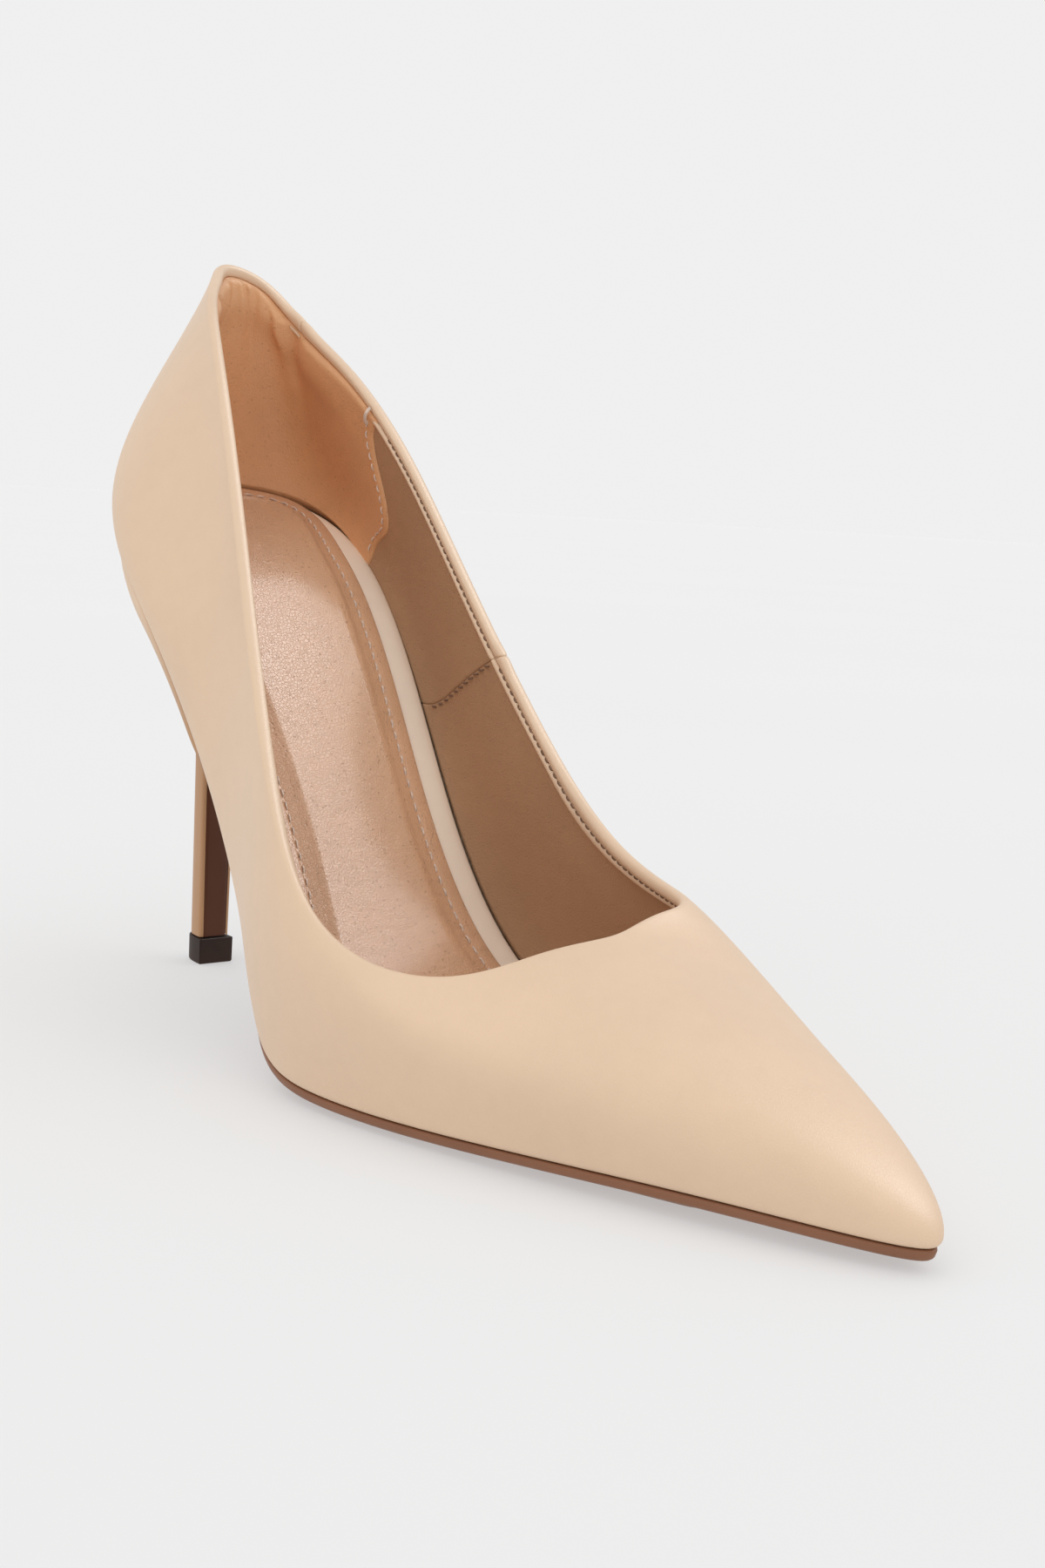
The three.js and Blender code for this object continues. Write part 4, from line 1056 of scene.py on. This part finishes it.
def sock_rows(ring, groove):
    """Rows of the sock, from under its edge and over its stitched groove to where its middle begins."""
    outline, top = sock_inset(ring), SOCK_TOP
    edge = (
        (1.2, SOCK_LOW), (0.25, SOCK_LOW + 0.02), (0, SOCK_LOW + 0.25), (0.02, top - 0.45), (0.15, top - 0.2),
        (0.45, top - 0.05), (0.9, top), (groove - 1.6, top + 0.04), (groove - 0.8, top),
        (groove - 0.35, top - 0.12), (groove, top - GROOVE_DEPTH), (groove + 0.35, top - 0.12),
        (groove + 0.8, top + 0.02), (groove + DISH_START, top + SOCK_SWELL),
    )
    rows = [(outline + inset, lift) for inset, lift in edge]
    for inset in np.linspace(groove + DISH_START, groove + DISH_END, 4)[1:]:
        y = inward(ring, outline + inset)[:, 1]
        share = (inset - groove - DISH_START) / (DISH_END - DISH_START)
        rise = smooth(y, *SOCK_FOAM) * SOCK_FOAM_RISE + SOCK_DISH
        rows.append((outline + inset, top + SOCK_SWELL + rise * smooth(share, 0, 1)))
    return rows


def sock_face(x, y, across):
    """Middle of the sock: dished across, and lifted by the foam under the heel."""
    rise = SOCK_SWELL + SOCK_FOAM_RISE * smooth(y, *SOCK_FOAM) + SOCK_DISH * across**2
    return seat(x, y, SOCK_TOP + rise)


class PUMP_OT_insole(bpy.types.Operator):
    """Make the nappa wrap round the insole, the padded sock and the sock's stitches"""

    bl_idname = "pump.insole"
    bl_label = "Insole and sock"

    def execute(self, context):
        sizes, colours = context.scene.pump_sizes, context.scene.pump_colours
        ring = np.arange(KEYS * WALL_DENSITY) / WALL_DENSITY
        wrap = material_of("nappa_split_thin", wrap_nappa, colours)
        grid = np.stack([on_seat(ring, inset, lift) for inset, lift in WRAP_SECTION])
        piece = grid_piece("insole_wrap_nappa", grid, wrap, close_columns=True, close_rows=True)
        place_piece(piece, "insole_wrap", "insole_wrap")

        plated = material_of("coated_leather_plated", sock_leather, colours)
        groove = sizes.sock_margin / MM
        piece = sheet_mesh("sock_leather_pad", ring, sock_rows(ring, groove), sock_face, 24, plated)
        place_piece(piece, "sock_leather", "sock")

        turns = np.linspace(-SOCK_STITCHES, SOCK_STITCHES, 900)
        x, y = np.moveaxis(inward(turns, sock_inset(turns) + groove), -1, 0)
        path = seat(x, y, SOCK_TOP - 0.14)
        pitch, width = sizes.sock_pitch / MM, sizes.thread_width / MM
        thread = pale_thread_of(colours)
        row = stitch_row("sock_stitches", path, seat_normal(x, y), pitch, PALE_COVER, width, thread, SOCK_SLANT)
        place_piece(row, "sock_leather")
        return {"FINISHED"}


SOLE_TOP, SOLE_LOW = -0.08, -GLUE_GAP - SOLE_EDGE
# Section of the sole's edge, from its top face round to its underside: inset and lift.
SOLE_SECTION = (
    (6.0, SOLE_TOP), (1.2, SOLE_TOP), (0.6, SOLE_TOP - 0.03), (0.4, SOLE_TOP - 0.15), (0.35, SOLE_TOP - 0.45),
    (0.42, SOLE_TOP - 0.75), (0.6, SOLE_LOW + 0.55), (0.85, SOLE_LOW + 0.25), (1.2, SOLE_LOW),
)
TREAD_EDGE, TREAD_INSET = 1.2, 9.0  # the tread swells between these insets
SOLE_COLUMNS = 420
SOLE_STEPS = 25
SOLE_TUCK = 0.035  # keys that the sole runs on behind the heel's front corners


def sole_under(x, y, share):
    """Underside of the sole: it swells to a flat tread as the share rises to 1."""
    under = seat(x, y, SOLE_LOW)
    front, back, ease = TREAD
    flat = smooth(y, front - ease, front) * (1 - smooth(y, back, back + ease)) * smooth(share, 0, 1)
    under[..., 2] *= 1 - flat
    return under


class PUMP_OT_outsole(bpy.types.Operator):
    """Make the thin-edged sole with its flat tread"""

    bl_idname = "pump.outsole"
    bl_label = "Outsole"

    def execute(self, context):
        colours = context.scene.pump_colours
        resin = material_of("resin_sole_moulded", sole_resin, "resin_sole_moulded", colours.sole)
        end = HEEL_REACH - SOLE_TUCK
        turns = np.linspace(end, KEYS - end, SOLE_COLUMNS)
        rows = [on_seat(turns, inset, lift) for inset, lift in SOLE_SECTION]
        for share in np.linspace(0, 1, 12)[1:]:
            x, y = np.moveaxis(inward(turns, TREAD_EDGE + (TREAD_INSET - TREAD_EDGE) * share), -1, 0)
            rows.append(sole_under(x, y, share))
        points, faces = [np.concatenate(rows)], [grid_faces(len(rows), SOLE_COLUMNS)]
        half = SOLE_COLUMNS // 2
        for inset, is_tread in ((TREAD_INSET, True), (SOLE_SECTION[0][0], False)):
            line = inward(turns, inset)
            left, right = line[:half], line[::-1][:half]
            across = left[:, None] + (right - left)[:, None] * np.linspace(0, 1, SOLE_STEPS)[None, :, None]
            x, y = across[..., 0], across[..., 1]
            filled = sole_under(x, y, 1.0) if is_tread else seat(x, y, SOLE_TOP)
            faces.append(grid_faces(half, SOLE_STEPS) + sum(map(len, points)))
            points.append(filled.reshape(-1, 3))
        piece = make_mesh("outsole_resin", np.concatenate(points), np.concatenate(faces), resin)
        place_piece(piece, "sole", "outsole")
        return {"FINISHED"}


# ---- Heel ----

HEEL_LEVELS = np.concatenate([np.linspace(0, 1, 60), np.linspace(1, 2, 24)[1:]])
FRONT_SPAN = 1.1  # keys over which the heel's side becomes its front corner
BACK_SPAN = 1.2
HEEL_MIDDLE = 84.0
CORNER_SPAN = 0.12
BREAST_RISE, BREAST_SINK, BREAST_ROUND = 0.28, 0.12, 0.6


def stem_point(turn, height, grow=0.0, grow_front=0.0):
    """Ring of the stem at a height: flat in front, rounded behind."""
    turn, height = np.broadcast_arrays(np.asarray(turn, float), np.asarray(height, float))
    angle = turn / HEEL_REACH * math.pi / 2
    half = (STEM_WIDTH + (STEM_WIDTH_TOP - STEM_WIDTH) * height / STEM_TOP) / 2 + grow
    side = np.sign(np.sin(angle)) * np.abs(np.sin(angle)) ** STEM_SQUARE
    back = np.maximum(np.cos(angle), 0) ** STEM_SQUARE
    depth = STEM_DEPTH + grow_front + grow
    return np.stack([STEM_X - side * half, STEM_FRONT - grow_front + depth * back, height], -1)


def heel_face(turn, v):
    """Outer face of the heel: v is 0 at the seat, 1 where the flare meets the stem, 2 at the top lift."""
    turn, v = np.broadcast_arrays(np.asarray(turn, float), np.asarray(v, float))
    front = smooth(np.abs(turn), HEEL_REACH - FRONT_SPAN, HEEL_REACH)
    backness = 1 - smooth(np.abs(turn), 0, BACK_SPAN)
    x, y = np.moveaxis(inward(turn, SOLE_INSET), -1, 0)
    normal = seat_normal(x, y)
    along_seat = -np.cross(np.array([1.0, 0.0, 0.0]), normal)
    rim = seat(x, y, -GLUE_GAP - front * SOLE_EDGE)
    side_under = rim.copy()
    side_under[..., 2] -= RIM_DROP_SIDE + (RIM_DROP_BACK - RIM_DROP_SIDE) * backness
    front_under = rim + along_seat * LIP_RUN - normal * LIP_DROP
    under = side_under + (front_under - side_under) * front[..., None]
    foot = stem_point(turn, STEM_TOP)
    above = foot.copy()
    above[..., 2] += STEM_RISE_SIDE + (STEM_RISE_BREAST - STEM_RISE_SIDE) * front
    flare = bezier((rim, under, above, foot), np.clip(v, 0, 1))
    stem_height = STEM_TOP + (LIFT_HEIGHT + GLUE_GAP - STEM_TOP) * np.clip(v - 1, 0, 1)
    return np.where((v > 1)[..., None], stem_point(turn, stem_height), flare)


def breast_edges():
    """Both edges of the heel's flat front, the breast cover's edges inside them, and the width between."""
    left, right = (heel_face(side, HEEL_LEVELS) for side in (HEEL_REACH, -HEEL_REACH))
    gap = np.linalg.norm(right - left, axis=-1)[:, None]
    trim = BREAST_TRIM / gap
    return left, right, left + (right - left) * trim, right + (left - right) * trim, gap


def wrapped_corner(start, tip, end):
    """Rounded corner where the heel cover turns onto the breast."""
    t = np.linspace(0, 1, 8)[None, :, None]
    return start[:, None] * (1 - t) ** 2 + tip[:, None] * 2 * t * (1 - t) + end[:, None] * t**2


def heel_cover_grid():
    """The heel cover, round the back from one edge of the breast to the other, with its rim turned in."""
    turns = np.sin(np.linspace(-1, 1, 97) * math.pi / 2) * (HEEL_REACH - CORNER_SPAN)
    body = heel_face(*np.meshgrid(turns, HEEL_LEVELS))
    left, right, inner_left, inner_right, _ = breast_edges()
    right_wrap = wrapped_corner(inner_right, right, body[:, 0])[:, :-1]
    left_wrap = wrapped_corner(body[:, -1], left, inner_left)[:, 1:]
    grid = np.concatenate([right_wrap, body, left_wrap], axis=1)
    wrapped = np.ones(right_wrap.shape[1])
    front = np.concatenate([wrapped, smooth(np.abs(turns), HEEL_REACH - FRONT_SPAN, HEEL_REACH), wrapped])
    rim = grid[0] + seat_normal(grid[0, :, 0], grid[0, :, 1]) * (front * SOLE_EDGE)[:, None]
    to_middle = (np.array([0, HEEL_MIDDLE, 0]) - rim) * np.array([1, 1, 0])
    lip = rim + to_middle * 0.02 + np.array([0, 0, 0.5])
    inside = rim + to_middle * 0.06
    return np.concatenate([inside[None], lip[None], rim[None], grid])


def breast_grid():
    """The breast cover, a thin strip with rounded edges down the heel's flat front."""
    left, right, inner_left, inner_right, gap = breast_edges()
    shares = np.linspace(0, 1, 15)
    strip = inner_left[:, None] + (inner_right - inner_left)[:, None] * shares[None, :, None]
    down = unit(np.gradient((left + right) / 2, axis=0))
    out = unit(np.cross(np.array([-1.0, 0.0, 0.0]), down))
    from_edge = np.minimum(shares, 1 - shares)[None, :] * (gap - 2 * BREAST_TRIM)
    rise = BREAST_RISE * round_share(from_edge, BREAST_ROUND) - BREAST_SINK
    return strip + out[:, None] * rise[..., None]


def lift_ring(height, shrink=0.0):
    """Outline of the top lift at a height: round the back of the stem, then straight across its front."""
    grow, front = LIFT_OVERHANG - shrink, LIFT_OVERHANG_FRONT - shrink
    round_back = np.sin(np.linspace(-1, 1, 65) * math.pi / 2) * HEEL_REACH
    start, end = (stem_point(side, height, grow, front) for side in (HEEL_REACH, -HEEL_REACH))
    across = np.linspace(0, 1, 14)[1:-1, None]
    return np.concatenate([stem_point(round_back, height, grow, front), start + (end - start) * across])


def lift_rings(bevel):
    """Outlines of the top lift from the floor up, with a rounded edge at each end, half as large at the top."""
    arc = np.linspace(0, math.pi / 2, 5)
    top_bevel = bevel * 0.5
    rings = [lift_ring(0, 3.2), lift_ring(0, 1.5)]
    rings += [lift_ring(bevel * (1 - math.cos(a)), bevel * (1 - math.sin(a))) for a in arc]
    rings += [lift_ring(height) for height in (1.8, 3.2, 4.6)]
    rings += [lift_ring(LIFT_HEIGHT - top_bevel * (1 - math.sin(a)), top_bevel * (1 - math.cos(a))) for a in arc]
    return np.stack([*rings, lift_ring(LIFT_HEIGHT, 1.5), lift_ring(LIFT_HEIGHT, 3.2)])


class PUMP_OT_heel(bpy.types.Operator):
    """Make the nappa heel cover, the breast cover and the top lift"""

    bl_idname = "pump.heel"
    bl_label = "Heel"

    def execute(self, context):
        sizes, colours = context.scene.pump_sizes, context.scene.pump_colours
        nappa = material_of("nappa_heel_painted_shade", heel_nappa, colours)
        place_piece(grid_piece("heel_cover_nappa", heel_cover_grid(), nappa), "upper_leather", "heel_cover")

        # Its darker brown is partly painted shade.
        resin = material_of("resin_breast_skived", sole_resin, "resin_breast_skived", colours.breast)
        place_piece(grid_piece("breast_cover_resin", breast_grid(), resin), "sole", "breast_cover")

        rubber = material_of("polyurethane_injection_moulded", lift_polyurethane, colours)
        rings = lift_rings(sizes.lift_bevel / MM)
        rows, count = rings.shape[:2]
        caps = [list(range(count)), list(range((rows - 1) * count, rows * count))]
        faces = grid_faces(rows, count, close_columns=True).tolist() + caps
        place_piece(make_mesh("top_lift_polyurethane", rings, faces, rubber), "top_lift", "top_lift")
        return {"FINISHED"}


# ---- Pieces inside the shoe ----

# Finish of each CAD node that stays: dark and light colour, fleck size, roughness, depth, metal, and the
# scale of the flecks along each axis.
INNER_FINISHES = {
    "fibreboard_pressed": ("#A8906A", "#D2BD98", 1.2, 0.85, 0.05, 0.0, (1, 1, 3)),
    "felt_needled": ("#C2BBAC", "#E2DCD0", 0.8, 0.92, 0.08, 0.0, (1, 1, 1)),
    "foam_latex_blown": ("#D8CDAF", "#ECE3CB", 0.6, 0.9, 0.1, 0.0, (1, 1, 1)),
    "cork_bonded": ("#8C6438", "#C49A68", 1.8, 0.9, 0.1, 0.0, (1, 1, 1)),
    "polystyrene_moulded": ("#CFC2AE", "#E0D5C4", 9.0, 0.5, 0.01, 0.0, (1, 1, 1)),
    "steel_cold_rolled": ("#8C8F92", "#B4B7BA", 0.5, 0.34, 0.01, 1.0, (1, 0.08, 1)),
    "brass_turned": ("#A07E42", "#CBA968", 0.4, 0.36, 0.01, 1.0, (1, 1, 0.1)),
}
INNER_PIECES = {
    "fibreboard_pressed": ("insole_board", "heel_counter", "toe_puff"),
    "felt_needled": ("topline_tape", "vamp_backing", "lateral_backing", "medial_backing"),
    "foam_latex_blown": ("heel_grip_foam", "sock_foam"),
    "cork_bonded": ("bottom_filler", "seat_filler"),
    "polystyrene_moulded": ("heel_block",),
    "steel_cold_rolled": (
        "steel_shank", "heel_tube", "top_lift_pin", "heel_screw",
        "heel_nail_1", "heel_nail_2", "heel_nail_3", "heel_nail_4",
    ),
    "brass_turned": ("shank_rivet_1", "shank_rivet_2"),
}


class PUMP_OT_inner_pieces(bpy.types.Operator):
    """Give the board, fillers, shank, heel core and fasteners their materials"""

    bl_idname = "pump.inner_pieces"
    bl_label = "Inner pieces"

    def execute(self, context):
        for finish, nodes in INNER_PIECES.items():
            made = material_of(finish, hidden_material, finish, *INNER_FINISHES[finish])
            for name in nodes:
                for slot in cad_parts[name].material_slots:
                    slot.material = made
        return {"FINISHED"}


# ---- Stage ----

# Camera: turned and raised round the shoe, in degrees and millimetres.
CAMERA_TURN = 37.476
CAMERA_RISE = 8.105
CAMERA_ROLL = 3.281
CAMERA_DISTANCE = 369.7
CAMERA_AIM = (10.69, -2.97, 60.0)  # right and up of the middle line, and the height on that line
CAMERA_LENS = 44.74
SENSOR = 36.0
FLOOR_RADIUS = 30.0


FLOOR_SIDES = 96
# Lights: name, spread in degrees, and shares of the camera's right, up and back in the direction to it.
LIGHTS = (("key_light", 80, (-0.1, 0.85, 0.5)), ("gloss_light", 30, (0.6, 0.8, -0.04)))


def view_axes():
    """The camera's right, up and back, before it rolls."""
    turn, rise = math.radians(CAMERA_TURN), math.radians(CAMERA_RISE)
    back = Vector((-math.sin(turn) * math.cos(rise), -math.cos(turn) * math.cos(rise), math.sin(rise)))
    right = Vector((math.cos(turn), -math.sin(turn), 0))
    return right, back.cross(right), back


def place_floor(stage):
    """Matt paper lit a little from below, like a light table, which keeps the shadows on it pale."""
    material, tree, shader, place = new_material("paper_sweep_matt", Roughness=0.9, **{"Specular IOR Level": 0.1})
    cloud = add_node(tree, "ShaderNodeTexNoise", {"Vector": place, "Scale": per_mm(400), "Detail": 2.0})
    dark, light = (shade(stage.floor, share * (1 - stage.glow)) for share in (0.995, 1.005))
    ramp = set_colour(tree, shader, cloud.outputs[0], dark, light)
    tree.links.new(ramp.outputs["Color"], shader.inputs["Emission Color"])
    shader.inputs["Emission Strength"].default_value = stage.glow / (1 - stage.glow)
    mesh = bpy.data.meshes.new("floor")
    angles = np.arange(FLOOR_SIDES) / FLOOR_SIDES * 2 * math.pi
    ring = np.stack([np.cos(angles), np.sin(angles), 0 * angles], -1) * FLOOR_RADIUS
    mesh.from_pydata(ring.tolist(), [], [list(range(FLOOR_SIDES))])
    mesh.materials.append(material)
    floor = bpy.data.objects.new("floor", mesh)
    bpy.context.scene.collection.objects.link(floor)


def place_camera():
    """Camera beyond the toe and to one side, looking slightly down at the shoe, and rolled."""
    right, up, back = view_axes()
    roll = math.radians(CAMERA_ROLL)
    aim = Vector((0, 0, CAMERA_AIM[2])) + right * CAMERA_AIM[0] + up * CAMERA_AIM[1]
    side = right * math.cos(roll) + up * math.sin(roll)
    top = up * math.cos(roll) - right * math.sin(roll)
    data = bpy.data.cameras.new("camera")
    data.lens, data.sensor_width, data.sensor_fit = CAMERA_LENS, SENSOR, "AUTO"
    data.clip_start, data.clip_end = 0.01, 100
    camera = bpy.data.objects.new("camera", data)
    pose = Matrix((side, top, back)).transposed().to_4x4()
    pose.translation = (aim + back * CAMERA_DISTANCE) * MM + Vector(ORIGIN)
    camera.matrix_world = pose
    bpy.context.scene.collection.objects.link(camera)
    bpy.context.scene.camera = camera


def place_lights(stage):
    """Even light from all round, a wide key light, and a light that only makes highlights."""
    world = bpy.data.worlds.new("studio")
    bpy.context.scene.world = world
    world.use_nodes = True
    world.node_tree.nodes.clear()
    sky = add_node(world.node_tree, "ShaderNodeBackground", {"Color": (1, 1, 1, 1), "Strength": stage.sky})
    add_node(world.node_tree, "ShaderNodeOutputWorld", {"Surface": sky.outputs[0]})
    for (name, spread, shares), strength in zip(LIGHTS, (stage.key, stage.gloss)):
        lamp = bpy.data.lights.new(name, "SUN")
        lamp.energy = strength
        lamp.angle = math.radians(spread)
        light = bpy.data.objects.new(name, lamp)
        toward = sum((axis * share for axis, share in zip(view_axes(), shares)), Vector())
        light.rotation_mode = "QUATERNION"
        light.rotation_quaternion = toward.to_track_quat("Z", "Y")
        light.visible_diffuse = name == "key_light"
        bpy.context.scene.collection.objects.link(light)


class PUMP_OT_stage(bpy.types.Operator):
    """Make the pale floor, the lights and the camera"""

    bl_idname = "pump.stage"
    bl_label = "Stage"

    def execute(self, context):
        stage = context.scene.pump_stage
        place_floor(stage)
        place_camera()
        place_lights(stage)
        context.scene.view_settings.view_transform = "Standard"
        context.scene.view_settings.look = "None"
        return {"FINISHED"}


class PUMP_PT_panel(bpy.types.Panel):
    """Sidebar panel with the shoe's settings and steps"""

    bl_idname = "PUMP_PT_panel"
    bl_label = "Pump"
    bl_space_type = "VIEW_3D"
    bl_region_type = "UI"
    bl_category = "Pump"

    def draw(self, context):
        scene = context.scene
        for group in (scene.pump_sizes, scene.pump_colours, scene.pump_stage):
            box = self.layout.box()
            for name in group.__annotations__:
                box.prop(group, name)
        for operator in OPERATORS:
            self.layout.operator(operator.bl_idname)


OPERATORS = (
    PUMP_OT_stage,
    PUMP_OT_upper,
    PUMP_OT_topline,
    PUMP_OT_linings,
    PUMP_OT_heel_lining,
    PUMP_OT_insole,
    PUMP_OT_outsole,
    PUMP_OT_heel,
    PUMP_OT_inner_pieces,
)
GROUPS = {"pump_sizes": PumpSizes, "pump_colours": PumpColours, "pump_stage": PumpStage}


def register():
    """Adds the settings, the operators and the panel."""
    for name, group in GROUPS.items():
        bpy.utils.register_class(group)
        setattr(bpy.types.Scene, name, PointerProperty(type=group))
    for cls in (*OPERATORS, PUMP_PT_panel):
        bpy.utils.register_class(cls)


def unregister():
    """Takes them away again."""
    for cls in reversed((*OPERATORS, PUMP_PT_panel)):
        bpy.utils.unregister_class(cls)
    for name, group in GROUPS.items():
        delattr(bpy.types.Scene, name)
        bpy.utils.unregister_class(group)


def main():
    """Makes the shoe and its stage."""
    register()
    for operator in OPERATORS:
        group, name = operator.bl_idname.split(".")
        getattr(getattr(bpy.ops, group), name)()


if __name__ == "__main__":
    main()
